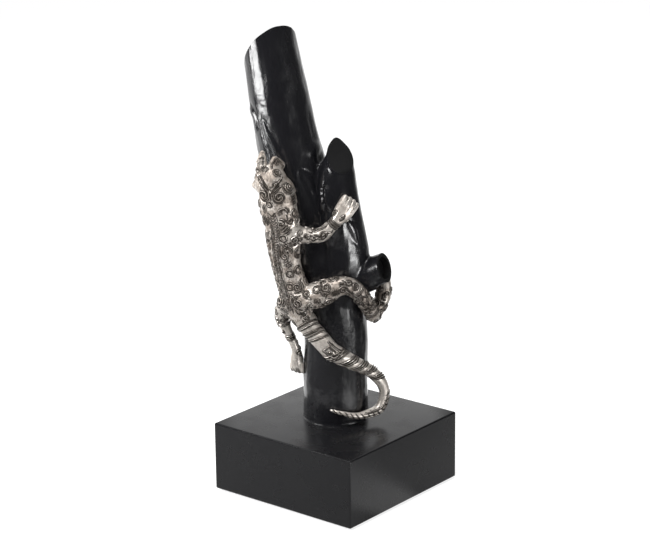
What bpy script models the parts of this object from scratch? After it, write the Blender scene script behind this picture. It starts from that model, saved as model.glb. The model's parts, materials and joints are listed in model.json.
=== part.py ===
"""A cast silver big cat climbing a black lacquered branch that stands on a square wooden block.

The felt's underside is at z = 0 and the block's middle is over the origin. The branch and the animal are laid out
in the branch's own frame: it stands on the middle of the block's top, turned about the vertical, with
x to the right, y to the back and z up as the ornament is looked at.
"""

import math

import bmesh
import bpy
import numpy as np
from mathutils import Matrix, Vector

MM = 0.001

# Clearances
GLUE_LINE = 0.3 * MM  # between faces that are glued or soldered together
HOLE_CLEARANCE = 0.3 * MM  # round a screw, stud or spigot in its hole

# Block and felt
BLOCK_SIDE = 130 * MM
BLOCK_HEIGHT = 52.5 * MM
BLOCK_EDGE_ROUND = 1.6 * MM
FELT_THICKNESS = 1.5 * MM
FELT_INSET = 4 * MM

# Two screws with washers hold the branch from below
SCREW_SPACING = 24 * MM
SCREW_RADIUS = 2.5 * MM
SCREW_IN_BRANCH = 30 * MM
SCREW_POINT = 6 * MM
SCREW_HEAD_RADIUS = 5 * MM
SCREW_HEAD_HEIGHT = 3.6 * MM
SCREW_KEY_RADIUS = 2.4 * MM
SCREW_KEY_DEPTH = 2 * MM
WASHER_RADIUS = 7 * MM
WASHER_THICKNESS = 1.2 * MM
POCKET_RADIUS = 9 * MM
POCKET_DEPTH = 14 * MM

# Branch
BRANCH_TURN = math.radians(39.1)
STUB_RADIUS = 10.6 * MM
STUB_RIM = 2.6 * MM
STUB_RECESS_DEPTH = 5 * MM
BRANCH_GRAIN = 1.5 * MM  # size of the cells that the branch's skin is worked in

# Studs between the animal's belly and the branch
STUD_RADIUS = 2 * MM
STUD_IN_BRANCH = 12 * MM
STUD_IN_BODY = 8 * MM
STUD_HEIGHTS = (113 * MM, 152 * MM)  # above the block

# The root of each leg and of the tail is plugged into a pocket of the body and soldered there.
CASTING_GRAIN = 0.9 * MM  # size of the cells that the castings' skins are worked in

# The heart line of each limb of the branch: x, y, height and radius, in mm
MAIN_BRANCH = (
    (0.3, 4, -2, 24.4),
    (0.3, 4, 30, 24.0),
    (0.8, 4, 66, 23.9),
    (-3.3, 5, 98, 24.2),
    (-13, 7, 132, 24.6),
    (-22.5, 8.5, 170, 24.4),
    (-32, 10, 207, 23.2),
    (-39, 11, 245, 21.8),
    (-46, 12, 290, 19.8),
    (-49, 12.5, 312, 19.3),
)
SIDE_BRANCH = (
    (-1, 4, 78, 19.0),
    (2, 2, 98, 21.0),
    (6.2, -1, 122, 20.4),
    (6, -3, 140, 18.4),
    (3.8, -5.5, 162, 16.8),
    (2.3, -7, 179, 15.5),
    (2.8, -8, 194, 13.0),
    (4.4, -8, 203, 10.2),
    (5, -7.4, 211, 9.8),
    (5, -5, 218, 8.6),
)
STUB = (
    (3, 3, 104, 16.0),
    (13, -2.4, 109.6, 13.6),
    (23, -7, 114.6, 11.4),
    (31, -10.6, 118.6, 10.7),
    (42, -15.6, 124, 10.5),
)
# Sawn faces: a point on the face, in mm, the way it looks, and how wide and high the saw cuts
MAIN_CUT = ((-45, 12, 278.3), (-0.385, 0.652, 0.652), 90, 90)
SIDE_CUT = ((4.7, -8, 205.6), (0.313, -0.636, 0.703), 26, 46)
STUB_CUT = ((36.4, -13.2, 121.2), (0.86, -0.42, 0.29), 40, 40)
# Swellings on the branch: height, bearing, how far the middle is under the bark, and radius, in mm
SWELLINGS = (
    (212, -40, 13, 15),
    (236, -75, 12, 13),
    (206, 55, 12, 14),
)

# The animal. Each heart line is x, y, height, half width and half depth, in mm. Depth is off the bark.
SPINE = (
    (-25.6, -14.8, 86, 9.2, 7.6),
    (-26.6, -16.6, 93, 11, 8.4),
    (-28.8, -17.4, 103, 13, 9),
    (-31.6, -16.6, 112.6, 13.2, 8.8),
    (-34.4, -16.3, 123, 12.6, 8.6),
    (-36.2, -17.8, 134, 12.8, 9),
    (-36.8, -20, 146, 13.6, 10),
    (-37.6, -21.5, 156, 14, 10.6),
    (-39.6, -22.2, 166, 14.4, 11),
    (-40.6, -22.6, 175, 14.2, 11.6),
    (-40.3, -22.5, 182, 12.8, 12),
)
FORELEG_RIGHT = (
    (-28.5, -23.2, 150, 7, 6.6),
    (-22.5, -24, 149.3, 6.5, 6),
    (-16, -24, 148.8, 5.8, 5.6),
    (-10, -24.2, 149, 5.6, 5.5),
    (-5.5, -24.8, 152.6, 5, 4.8),
    (-1.5, -26, 157, 4.4, 4.4),
    (2.5, -26.4, 161.5, 4.6, 4.3),
    (6.2, -26.2, 166.5, 7, 4.6),
    (9.8, -25, 171.3, 7.7, 4.3),
)
FORELEG_LEFT = (
    (-44.2, -13.5, 150, 5.8, 5.6),
    (-46, -8, 151.5, 5.4, 4.8),
    (-47.3, -1, 154, 5, 4.4),
    (-47.8, 8, 157.5, 4.6, 4.2),
    (-46.9, 17.4, 162, 4.4, 4.1),
    (-43.8, 25.7, 167.5, 4.5, 4),
    (-39, 31.6, 173, 6, 3.8),
    (-35.2, 34.6, 177.5, 6.4, 3.7),
)
HINDLEG_RIGHT = (
    (-19.5, -21.5, 102, 9.2, 8.2),
    (-14, -24, 103.8, 9.8, 8.2),
    (-7, -26.5, 107.2, 9.2, 7.8),
    (1, -28, 111.3, 7.4, 7),
    (8, -27.6, 112, 6.7, 6.5),
    (12.2, -25.8, 110.5, 6.2, 6),
    (15.6, -22.8, 105.5, 5.1, 5.2),
    (20.3, -18.5, 96.8, 4.7, 4.9),
    (24.5, -12, 88.5, 4.6, 4.7),
    (28.2, -5.5, 81.4, 4.8, 4.7),
    (32.8, -2, 86.8, 5, 4.6),
    (36.4, -0.2, 94.2, 5.6, 4.8),
    (37, 2, 101.5, 6.2, 4.8),
    (35.6, 3.4, 108.5, 6.4, 4.6),
)
HINDLEG_LEFT = (
    (-35.5, -8.5, 92, 7.4, 6.8),
    (-37.8, -3, 84.6, 7, 6.6),
    (-38.3, 0.5, 78, 5.4, 5.4),
    (-36.6, 2, 71.5, 4.2, 4.2),
    (-33.6, 3, 64.5, 3.6, 3.6),
    (-30.8, 3.5, 58, 3.5, 3.5),
    (-28.9, 3.8, 51.5, 3.9, 3.7),
    (-28.6, 3.9, 45, 5.6, 5.2),
    (-28.3, 3.9, 41, 6, 5),
)
TAIL = (
    (-21.6, -16.6, 80.4, 8.1, 7),
    (-18.4, -18.8, 77.2, 7.8, 6.8),
    (-14, -21, 73, 7.5, 6.5),
    (-8.5, -23.3, 67, 7.1, 6.3),
    (-3.1, -24.6, 61.1, 6.8, 6),
    (2, -24.8, 58, 6.5, 5.7),
    (7.9, -23.7, 54.4, 6, 5.4),
    (13.8, -21, 50.3, 5.5, 5.1),
    (19, -17.6, 46.7, 5, 4.9),
    (24.6, -13.5, 42.3, 4.9, 4.7),
    (30.2, -10.2, 36.5, 4.8, 4.7),
    (34, -8.2, 31, 4.4, 4.4),
    (36.2, -7, 25.3, 4.1, 4.1),
    (36.6, -6.8, 20.4, 3.9, 3.9),
    (35.5, -7.5, 15.4, 3.8, 3.8),
    (33, -9.2, 11, 3.7, 3.7),
    (29.1, -12, 9, 3.5, 3.5),
    (23.6, -16, 8.5, 3.2, 3.2),
    (18.1, -19.2, 8.1, 2.8, 2.8),
    (12.1, -21.6, 9.1, 2.4, 2.4),
    (6.8, -22.8, 11, 1.9, 1.9),
    (1.7, -23.2, 12.3, 1.6, 1.6),
    (-3.5, -22.6, 13.8, 1.2, 1.2),
)
# Toes: how far they reach past the end of the leg, how far apart they are, and their radii, in mm
TOE_REACH = 2.6
TOE_PITCH = 3.5
TOE_RADII = (2.1, 3.6, 2.5)
# The head looks this way. Its lumps are off the skull's middle: right, forward, up, then the three radii.
HEAD_LOOKS = (-0.62, 0.78, 0)
SKULL = ((-45.5, -21.5, 189), (12.2, 13, 13))
HEAD_LUMPS = (
    (0, 11, -4, 6.2, 7, 5.6),
    (0, 15, -1.6, 2.6, 3, 2.2),
    (0, 12.5, -8, 3.6, 4, 2.6),
    (-6.5, 7, -3.5, 4.6, 5, 4.6),
    (6.5, 7, -3.5, 4.6, 5, 4.6),
    (0, 9, 6, 6.5, 4.6, 4),
)
EARS = (
    (-7.6, 3, 14.6, 3.6, 1.8, 7.4),
    (3, 1.4, 13.2, 6.2, 2, 6.6),
)

BLACK_LACQUER = ("black_lacquer", (0.012, 0.012, 0.013), 0.22, 0.0)
BLACK_BARK = ("black_bark", (0.010, 0.010, 0.011), 0.18, 0.0)
OLD_SILVER = ("old_silver", (0.60, 0.56, 0.52), 0.34, 1.0)
ZINC_STEEL = ("zinc_steel", (0.55, 0.55, 0.56), 0.40, 1.0)
GREEN_FELT = ("felt", (0.015, 0.016, 0.015), 0.95, 0.0)


def material(slot):
    name, colour, roughness, metallic = slot
    made = bpy.data.materials.get(name) or bpy.data.materials.new(name)
    made.use_nodes = True
    shader = made.node_tree.nodes["Principled BSDF"]
    shader.inputs["Base Color"].default_value = (*colour, 1)
    shader.inputs["Roughness"].default_value = roughness
    shader.inputs["Metallic"].default_value = metallic
    made.diffuse_color = (*colour, 1)
    return made


def clear_scene():
    for obj in list(bpy.data.objects):
        bpy.data.objects.remove(obj)


def new_collection(name):
    made = bpy.data.collections.new(name)
    bpy.context.scene.collection.children.link(made)
    return made


def add_object(name, mesh, collection):
    obj = bpy.data.objects.new(name, mesh)
    collection.objects.link(obj)
    return obj


def as_helper(obj):
    obj.hide_render = True
    obj.display_type = "WIRE"
    return obj


def smooth_path(stations, steps):
    """Points on a smooth line through the stations, with every value of a station carried along."""
    rows = np.array(stations, float) * MM
    padded = np.vstack([2 * rows[0] - rows[1], rows, 2 * rows[-1] - rows[-2]])
    made = []
    for i in range(1, len(padded) - 2):
        a, b, c, d = padded[i - 1 : i + 3]
        for t in np.arange(steps) / steps:
            made.append(
                0.5 * (2 * b + (c - a) * t + (2 * a - 5 * b + 4 * c - d) * t**2 + (3 * b - a - 3 * c + d) * t**3)
            )
    made.append(padded[-2])
    return np.array(made)


def tube_mesh(name, path):
    """A round bar along a path of x, y, z and radius, with its ends rounded."""
    curve = bpy.data.curves.new(name, "CURVE")
    curve.dimensions = "3D"
    curve.bevel_depth = 1
    curve.bevel_resolution = 4
    curve.use_fill_caps = True
    spline = curve.splines.new("POLY")
    spline.points.add(len(path) - 1)
    for point, (x, y, z, radius) in zip(spline.points, path):
        point.co = (x, y, z, 1)
        point.radius = radius
    guide = bpy.data.objects.new(name, curve)
    bpy.context.scene.collection.objects.link(guide)
    graph = bpy.context.evaluated_depsgraph_get()
    mesh = bpy.data.meshes.new_from_object(guide.evaluated_get(graph))
    bpy.data.objects.remove(guide)
    work = bmesh.new()
    work.from_mesh(mesh)
    bmesh.ops.remove_doubles(work, verts=work.verts, dist=1e-6)
    work.to_mesh(mesh)
    work.free()
    return mesh


def add_ball(work, centre, radii, axes=None):
    """Adds an ellipsoid to a bmesh. Its radii lie along the rows of axes, or along x, y and z."""
    turn = Matrix(axes).transposed() if axes is not None else Matrix.Identity(3)
    place = Matrix.Translation(centre) @ turn.to_4x4() @ Matrix.Diagonal((*radii, 1))
    bmesh.ops.create_uvsphere(work, u_segments=20, v_segments=12, radius=1, matrix=place)


def ball_mesh(name, centre, radii, axes=None):
    work = bmesh.new()
    add_ball(work, centre, radii, axes)
    mesh = bpy.data.meshes.new(name)
    work.to_mesh(mesh)
    work.free()
    return mesh


def off_axis(point, limbs):
    """The level way out of the branch's nearest limb at a point."""
    best = None
    for path in limbs:
        away = np.array(point) - path[:, :3]
        gaps = np.linalg.norm(away, axis=1) - path[:, 3]
        i = int(np.argmin(gaps))
        if best is None or gaps[i] < best[0]:
            best = (gaps[i], away[i])
    return Vector(best[1])


def leg_frame(path, i, limbs):
    """Right, forward and off-the-bark directions at a point of a heart line."""
    forward = Vector(path[min(i + 1, len(path) - 1), :3] - path[max(i - 1, 0), :3]).normalized()
    out = off_axis(path[i, :3], limbs)
    out = (out - forward * out.dot(forward)).normalized()
    return forward.cross(out), forward, out


def ball_chain(name, stations, limbs, toes=False):
    """A run of overlapping ellipsoids along a heart line, with four toes at its end if it has a paw."""
    path = smooth_path(stations, 4)
    work = bmesh.new()
    for i, (x, y, z, wide, deep) in enumerate(path):
        add_ball(work, (x, y, z), (wide, (wide + deep) / 2, deep), leg_frame(path, i, limbs))
    if toes:
        right, forward, out = leg_frame(path, len(path) - 1, limbs)
        wide, along, deep = (radius * MM for radius in TOE_RADII)
        for k in (-1.5, -0.5, 0.5, 1.5):
            centre = Vector(path[-1, :3]) + forward * (TOE_REACH - 0.5 * abs(k)) * MM + right * k * TOE_PITCH * MM
            add_ball(work, centre - out * 0.6 * MM, (wide, along, deep), (right, forward, out))
    mesh = bpy.data.meshes.new(name)
    work.to_mesh(mesh)
    work.free()
    return mesh


def cylinder_mesh(name, start, end, radius, segments=24):
    start, end = Vector(start), Vector(end)
    work = bmesh.new()
    bmesh.ops.create_cone(
        work, cap_ends=True, segments=segments, radius1=radius, radius2=radius, depth=(end - start).length
    )
    turn = (end - start).to_track_quat("Z", "Y").to_matrix().to_4x4()
    work.transform(Matrix.Translation((start + end) / 2) @ turn)
    mesh = bpy.data.meshes.new(name)
    work.to_mesh(mesh)
    work.free()
    return mesh


def fused_form(name, meshes, grain, smoothing, triangles, collection):
    """One closed skin round overlapping shapes, with the creases between them eased."""
    work = bmesh.new()
    for mesh in meshes:
        work.from_mesh(mesh)
    joined = bpy.data.meshes.new(name)
    work.to_mesh(joined)
    work.free()
    obj = add_object(name, joined, collection)
    skin = obj.modifiers.new("skin", "REMESH")
    skin.mode = "VOXEL"
    skin.voxel_size = grain
    ease = obj.modifiers.new("ease", "SMOOTH")
    ease.factor = 0.5
    ease.iterations = smoothing
    bake(obj)
    reduce = obj.modifiers.new("reduce", "DECIMATE")
    reduce.ratio = min(1.0, triangles / sum(len(face.vertices) - 2 for face in obj.data.polygons))
    bake(obj)
    for mesh in meshes:
        bpy.data.meshes.remove(mesh)
    return obj


def bake(obj):
    """Applies the object's modifiers to its mesh."""
    graph = bpy.context.evaluated_depsgraph_get()
    mesh = bpy.data.meshes.new_from_object(obj.evaluated_get(graph))
    obj.modifiers.clear()
    old, obj.data = obj.data, mesh
    bpy.data.meshes.remove(old)


def boolean(obj, other, operation):
    modifier = obj.modifiers.new(operation.lower(), "BOOLEAN")
    modifier.operation = operation
    modifier.object = other
    modifier.solver = "EXACT"


def grown_copy(obj, clearance, collection):
    """The same form swollen by a clearance, to cut a neighbour with."""
    copy = as_helper(add_object(obj.name + "_clearance", obj.data.copy(), collection))
    swell = copy.modifiers.new("swell", "DISPLACE")
    swell.strength = clearance
    swell.mid_level = 0
    bake(copy)
    return copy


def finish(obj, slot, parent=None, sharp_angle=35):
    obj.data.materials.clear()
    obj.data.materials.append(material(slot))
    obj.data.shade_smooth()
    obj.data.set_sharp_from_angle(angle=math.radians(sharp_angle))
    obj.parent = parent


def bearing(degrees):
    """A level direction: 0 looks to the front, 90 to the right and -90 to the left."""
    angle = math.radians(degrees)
    return Vector((math.sin(angle), -math.cos(angle), 0))


def limb_at(path, height):
    """Centre and radius of a limb of the branch at a height."""
    centre = Vector([np.interp(height, path[:, 2], path[:, axis]) for axis in range(3)])
    return centre, float(np.interp(height, path[:, 2], path[:, 3]))


def off_bark(path, height, degrees, lift):
    """The point at a height and bearing that is lifted off the limb's bark. Sizes in mm."""
    centre, radius = limb_at(path, height * MM)
    return centre + bearing(degrees) * (radius + lift * MM)


def station(point, radius):
    """A station of a casting's heart line, in mm, from a point in metres."""
    return (*(Vector(point) / MM), radius)


def block_cutter(name, point, normal, width, height, collection):
    """A box whose one face lies at a point and looks against the normal."""
    normal = Vector(normal).normalized()
    level = Vector((-normal.y, normal.x, 0))
    level = level.normalized() if level.length > 0.001 else Vector((1, 0, 0))
    axes = Matrix((level, normal.cross(level), normal)).transposed().to_4x4()
    depth = 60 * MM
    work = bmesh.new()
    bmesh.ops.create_cube(work, size=1)
    size = Matrix.Diagonal((width, height, depth, 1))
    work.transform(Matrix.Translation(Vector(point) + normal * depth / 2) @ axes @ size)
    mesh = bpy.data.meshes.new(name)
    work.to_mesh(mesh)
    work.free()
    return as_helper(add_object(name, mesh, collection))


def turned_mesh(name, profile, steps=32):
    """A profile of radius and height, from the top down its outer side, turned about z."""
    mesh = bpy.data.meshes.new(name)
    mesh.from_pydata([(r, 0, z) for r, z in profile], [(i, i + 1) for i in range(len(profile) - 1)], [])
    obj = bpy.data.objects.new(name, mesh)
    bpy.context.scene.collection.objects.link(obj)
    turn = obj.modifiers.new("turn", "SCREW")
    turn.steps = turn.render_steps = steps
    turn.use_merge_vertices = True
    turn.merge_threshold = 1e-6
    bake(obj)
    made = obj.data
    bpy.data.objects.remove(obj)
    return made


def build_block(parts, cutters):
    bottom = FELT_THICKNESS + GLUE_LINE
    work = bmesh.new()
    bmesh.ops.create_cube(work, size=1)
    size = Matrix.Diagonal((BLOCK_SIDE, BLOCK_SIDE, BLOCK_HEIGHT, 1))
    work.transform(Matrix.Translation((0, 0, bottom + BLOCK_HEIGHT / 2)) @ size)
    mesh = bpy.data.meshes.new("base_block")
    work.to_mesh(mesh)
    work.free()
    block = add_object("base_block", mesh, parts)
    edge = block.modifiers.new("edge", "BEVEL")
    edge.width = BLOCK_EDGE_ROUND
    edge.segments = 3
    bake(block)
    top = bottom + BLOCK_HEIGHT
    for i, (x, y) in enumerate(screw_places()):
        pocket = cylinder_mesh("pocket", (x, y, 0), (x, y, bottom + POCKET_DEPTH), POCKET_RADIUS, 32)
        boolean(block, as_helper(add_object(f"pocket_{i}", pocket, cutters)), "DIFFERENCE")
        hole = cylinder_mesh("hole", (x, y, 0), (x, y, top + 5 * MM), SCREW_RADIUS + HOLE_CLEARANCE)
        boolean(block, as_helper(add_object(f"block_hole_{i}", hole, cutters)), "DIFFERENCE")
    finish(block, BLACK_LACQUER)
    return top


def build_felt(parts):
    side = BLOCK_SIDE - 2 * FELT_INSET
    work = bmesh.new()
    bmesh.ops.create_cube(work, size=1)
    size = Matrix.Diagonal((side, side, FELT_THICKNESS, 1))
    work.transform(Matrix.Translation((0, 0, FELT_THICKNESS / 2)) @ size)
    mesh = bpy.data.meshes.new("felt_pad")
    work.to_mesh(mesh)
    work.free()
    felt = add_object("felt_pad", mesh, parts)
    corners = felt.modifiers.new("corners", "BEVEL")
    corners.width = 0.3 * MM
    corners.segments = 1
    finish(felt, GREEN_FELT)


def screw_places():
    """Where the screws stand, on a line through the middle of the block, turned with the branch."""
    across = Vector((math.cos(BRANCH_TURN), math.sin(BRANCH_TURN))) * SCREW_SPACING / 2
    return [tuple(-across), tuple(across)]


def build_screws(parts, cutters):
    head_top = FELT_THICKNESS + GLUE_LINE + POCKET_DEPTH - GLUE_LINE - WASHER_THICKNESS - GLUE_LINE
    head_bottom = head_top - SCREW_HEAD_HEIGHT
    tip = FELT_THICKNESS + GLUE_LINE + BLOCK_HEIGHT + SCREW_IN_BRANCH
    key_top = head_bottom + SCREW_KEY_DEPTH
    screw_profile = (
        (0, tip),
        (SCREW_RADIUS * 0.12, tip),
        (SCREW_RADIUS, tip - SCREW_POINT),
        (SCREW_RADIUS, head_top),
        (SCREW_HEAD_RADIUS, head_top),
        (SCREW_HEAD_RADIUS, head_bottom + SCREW_HEAD_HEIGHT * 0.35),
        (SCREW_HEAD_RADIUS * 0.8, head_bottom),
        (0, head_bottom),
    )
    washer_low = head_top + GLUE_LINE
    washer_high = washer_low + WASHER_THICKNESS
    hole = SCREW_RADIUS + HOLE_CLEARANCE
    washer_profile = (
        (hole, washer_high),
        (WASHER_RADIUS, washer_high),
        (WASHER_RADIUS, washer_low),
        (hole, washer_low),
        (hole, washer_high),
    )
    for i, (x, y) in enumerate(screw_places(), 1):
        for name, profile in (("branch_screw", screw_profile), ("screw_washer", washer_profile)):
            piece = add_object(f"{name}_{i}", turned_mesh(name, profile), parts)
            piece.location = (x, y, 0)
            if name == "branch_screw":
                key = cylinder_mesh("key", (x, y, head_bottom - MM), (x, y, key_top), SCREW_KEY_RADIUS, 6)
                boolean(piece, as_helper(add_object(f"key_{i}", key, cutters)), "DIFFERENCE")
            finish(piece, ZINC_STEEL)


def build_branch(parts, cutters, stand):
    main = smooth_path(MAIN_BRANCH, 4)
    side = smooth_path(SIDE_BRANCH, 4)
    stub = smooth_path(STUB, 4)
    shapes = [tube_mesh("main", main), tube_mesh("side", side), tube_mesh("stub", stub)]
    for height, degrees, depth, radius in SWELLINGS:
        shapes.append(ball_mesh("swelling", off_bark(main, height, degrees, -depth), (radius * MM,) * 3))
    branch = fused_form("branch", shapes, BRANCH_GRAIN, 12, 2900, parts)
    for name, (point, normal, width, height) in (("main", MAIN_CUT), ("side", SIDE_CUT), ("stub", STUB_CUT)):
        saw = block_cutter(f"{name}_saw", Vector(point) * MM, normal, width * MM, height * MM, cutters)
        boolean(branch, saw, "DIFFERENCE")
    foot = block_cutter("foot_saw", (0, 0, GLUE_LINE), (0, 0, -1), 90 * MM, 90 * MM, cutters)
    boolean(branch, foot, "DIFFERENCE")
    face, axis = Vector(STUB_CUT[0]) * MM, Vector(STUB_CUT[1]).normalized()
    recess = cylinder_mesh(
        "recess", face - axis * STUB_RECESS_DEPTH, face + axis * STUB_RECESS_DEPTH, STUB_RADIUS - STUB_RIM
    )
    boolean(branch, as_helper(add_object("stub_recess", recess, cutters)), "DIFFERENCE")
    for i, x in enumerate((-SCREW_SPACING / 2, SCREW_SPACING / 2)):
        depth = SCREW_IN_BRANCH + GLUE_LINE
        hole = cylinder_mesh("hole", (x, 0, -5 * MM), (x, 0, depth), SCREW_RADIUS + HOLE_CLEARANCE)
        boolean(branch, as_helper(add_object(f"branch_hole_{i}", hole, cutters)), "DIFFERENCE")
    bake(branch)
    return branch, main, side


def build_casting(name, meshes, triangles, bark, parts):
    """One casting, cut back where it lies on the branch."""
    casting = fused_form(name, meshes, CASTING_GRAIN, 4, triangles, parts)
    boolean(casting, bark, "DIFFERENCE")
    bake(casting)
    return casting


def head_meshes():
    forward = Vector(HEAD_LOOKS).normalized()
    up = Vector((0, 0, 1))
    axes = (forward.cross(up), forward, up)
    middle, radii = Vector(SKULL[0]) * MM, [radius * MM for radius in SKULL[1]]
    made = [ball_mesh("skull", middle, radii, axes)]
    for *place, wide, along, tall in HEAD_LUMPS + EARS:
        centre = middle + sum((axis * value * MM for axis, value in zip(axes, place)), Vector())
        made.append(ball_mesh("lump", centre, (wide * MM, along * MM, tall * MM), axes))
    return made


def drill(piece, start, end, radius, name, cutters):
    hole = as_helper(add_object(name, cylinder_mesh(name, start, end, radius), cutters))
    boolean(piece, hole, "DIFFERENCE")


def build_studs(parts, cutters, stand, branch, body, main_path):
    """Studs that stand square on the bark under the animal's belly, half in each piece."""
    spine = smooth_path(SPINE, 4)
    for i, height in enumerate(STUD_HEIGHTS, 1):
        belly, _ = limb_at(spine, height)
        heart, radius = limb_at(main_path, height)
        out = (belly - heart).normalized()
        bark = heart + out * radius
        inner, outer = bark - out * STUD_IN_BRANCH, bark + out * STUD_IN_BODY
        reach = out * 0.4 * MM
        drill(branch, inner - reach, outer, STUD_RADIUS + HOLE_CLEARANCE, f"stud_hole_{i}", cutters)
        drill(body, inner, outer + reach, STUD_RADIUS + HOLE_CLEARANCE, f"belly_hole_{i}", cutters)
        length = STUD_IN_BRANCH + STUD_IN_BODY
        mesh = cylinder_mesh("belly_stud", (0, 0, -length / 2), (0, 0, length / 2), STUD_RADIUS, 20)
        stud = add_object(f"belly_stud_{i}", mesh, parts)
        stud.location = (inner + outer) / 2
        stud.rotation_euler = out.to_track_quat("Z", "Y").to_euler()
        ends = stud.modifiers.new("ends", "BEVEL")
        ends.width = 0.5 * MM
        ends.segments = 1
        finish(stud, ZINC_STEEL, stand)
    bake(branch)
    bake(body)


def build_animal(parts, cutters, branch, limbs):
    bark = grown_copy(branch, GLUE_LINE + 0.1 * MM, cutters)
    body = build_casting(
        "body_casting", [ball_chain("spine", SPINE, limbs), *head_meshes()], 2200, bark, parts
    )
    castings = [body]
    for name, stations, toes, triangles in (
        ("foreleg_right", FORELEG_RIGHT, True, 900),
        ("foreleg_left", FORELEG_LEFT, True, 900),
        ("hindleg_right", HINDLEG_RIGHT, True, 1100),
        ("hindleg_left", HINDLEG_LEFT, True, 900),
        ("tail", TAIL, False, 1100),
    ):
        limb = build_casting(name, [ball_chain(name, stations, limbs, toes)], triangles, bark, parts)
        castings.append(limb)
        boolean(body, grown_copy(limb, GLUE_LINE + 0.1 * MM, cutters), "DIFFERENCE")
    bake(body)
    return castings


def main():
    clear_scene()
    parts = new_collection("climbing cat ornament")
    cutters = new_collection("cutters")
    top = build_block(parts, cutters)
    build_felt(parts)
    build_screws(parts, cutters)
    stand = bpy.data.objects.new("branch_stand", None)
    parts.objects.link(stand)
    stand.location = (0, 0, top)
    stand.rotation_euler = (0, 0, BRANCH_TURN)
    branch, main_path, side_path = build_branch(parts, cutters, stand)
    limbs = (main_path, side_path, smooth_path(STUB, 4))
    castings = build_animal(parts, cutters, branch, limbs)
    build_studs(parts, cutters, stand, branch, castings[0], main_path)
    for casting in castings:
        finish(casting, OLD_SILVER, stand)
    finish(branch, BLACK_BARK, stand)


main()
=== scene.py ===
import json
import math
import random

import bmesh
import bpy
import numpy as np
from mathutils import Matrix, Vector
from mathutils.bvhtree import BVHTree
from mathutils.kdtree import KDTree

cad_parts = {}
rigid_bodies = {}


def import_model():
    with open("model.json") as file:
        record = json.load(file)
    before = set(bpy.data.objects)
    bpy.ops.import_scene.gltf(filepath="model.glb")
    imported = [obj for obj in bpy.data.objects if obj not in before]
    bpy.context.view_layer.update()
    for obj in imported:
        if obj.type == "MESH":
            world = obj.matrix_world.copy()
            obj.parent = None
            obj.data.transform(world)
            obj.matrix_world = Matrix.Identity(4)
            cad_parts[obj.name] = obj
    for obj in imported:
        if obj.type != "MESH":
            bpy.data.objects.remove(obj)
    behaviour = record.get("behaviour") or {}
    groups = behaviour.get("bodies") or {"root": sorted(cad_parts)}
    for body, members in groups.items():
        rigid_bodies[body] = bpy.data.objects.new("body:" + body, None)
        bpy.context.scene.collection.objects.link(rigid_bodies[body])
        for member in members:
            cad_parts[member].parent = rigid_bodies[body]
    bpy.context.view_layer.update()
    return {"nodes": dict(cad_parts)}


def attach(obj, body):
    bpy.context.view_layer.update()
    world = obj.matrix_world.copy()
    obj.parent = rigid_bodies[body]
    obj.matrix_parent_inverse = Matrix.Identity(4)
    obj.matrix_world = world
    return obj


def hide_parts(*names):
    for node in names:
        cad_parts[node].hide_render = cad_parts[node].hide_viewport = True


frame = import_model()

mm = 0.001

# The branch and the cat are laid out in the branch's own frame, in mm:
# x right, y back, z up from the block's top.
standSettings = {"turn": 39.1, "blockTop": 54.3}
standTurn = Matrix.Rotation(math.radians(standSettings["turn"]), 4, "Z")
stand = Matrix.Translation((0, 0, standSettings["blockTop"] * mm)) @ standTurn

helpers = bpy.data.collections.new("helpers")
finished = bpy.data.collections.new("finished_pieces")
for collection in (helpers, finished):
    bpy.context.scene.collection.children.link(collection)


# Nodes

def addNode(tree, kind, values=None, **settings):
    made = tree.nodes.new(kind)
    for key, value in settings.items():
        setattr(made, key, value)
    for socket, value in (values or {}).items():
        if isinstance(value, bpy.types.NodeSocket):
            tree.links.new(value, made.inputs[socket])
        else:
            made.inputs[socket].default_value = value
    return made


def calculated(tree, operation, first, second=0.0):
    return addNode(tree, "ShaderNodeMath", {0: first, 1: second}, operation=operation).outputs[0]


def times(tree, first, second):
    return calculated(tree, "MULTIPLY", first, second)


def larger(tree, first, second):
    return calculated(tree, "MAXIMUM", first, second)


def ranged(tree, value, low, high, toLow, toHigh, smooth=True):
    kind = "SMOOTHSTEP" if smooth else "LINEAR"
    values = {"Value": value, "From Min": low, "From Max": high, "To Min": toLow, "To Max": toHigh}
    return addNode(tree, "ShaderNodeMapRange", values, interpolation_type=kind).outputs["Result"]


def attribute(tree, name, output="Fac"):
    return addNode(tree, "ShaderNodeAttribute", attribute_name=name).outputs[output]


def emptyMaterial(name):
    material = bpy.data.materials.new(name)
    material.use_nodes = True
    material.node_tree.nodes.clear()
    return material, material.node_tree


# Studio

cameraSettings = {
    "lens": 121.85,
    "azimuth": 39.1,
    "elevation": 16.75,
    "distance": 1.6273,
    "aimRight": -0.0069,
    "aimUp": 0.16595,
    "roll": -0.62,
    "sensorWidth": 36,
    "clipStart": 0.05,
    "clipEnd": 40,
}

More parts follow.
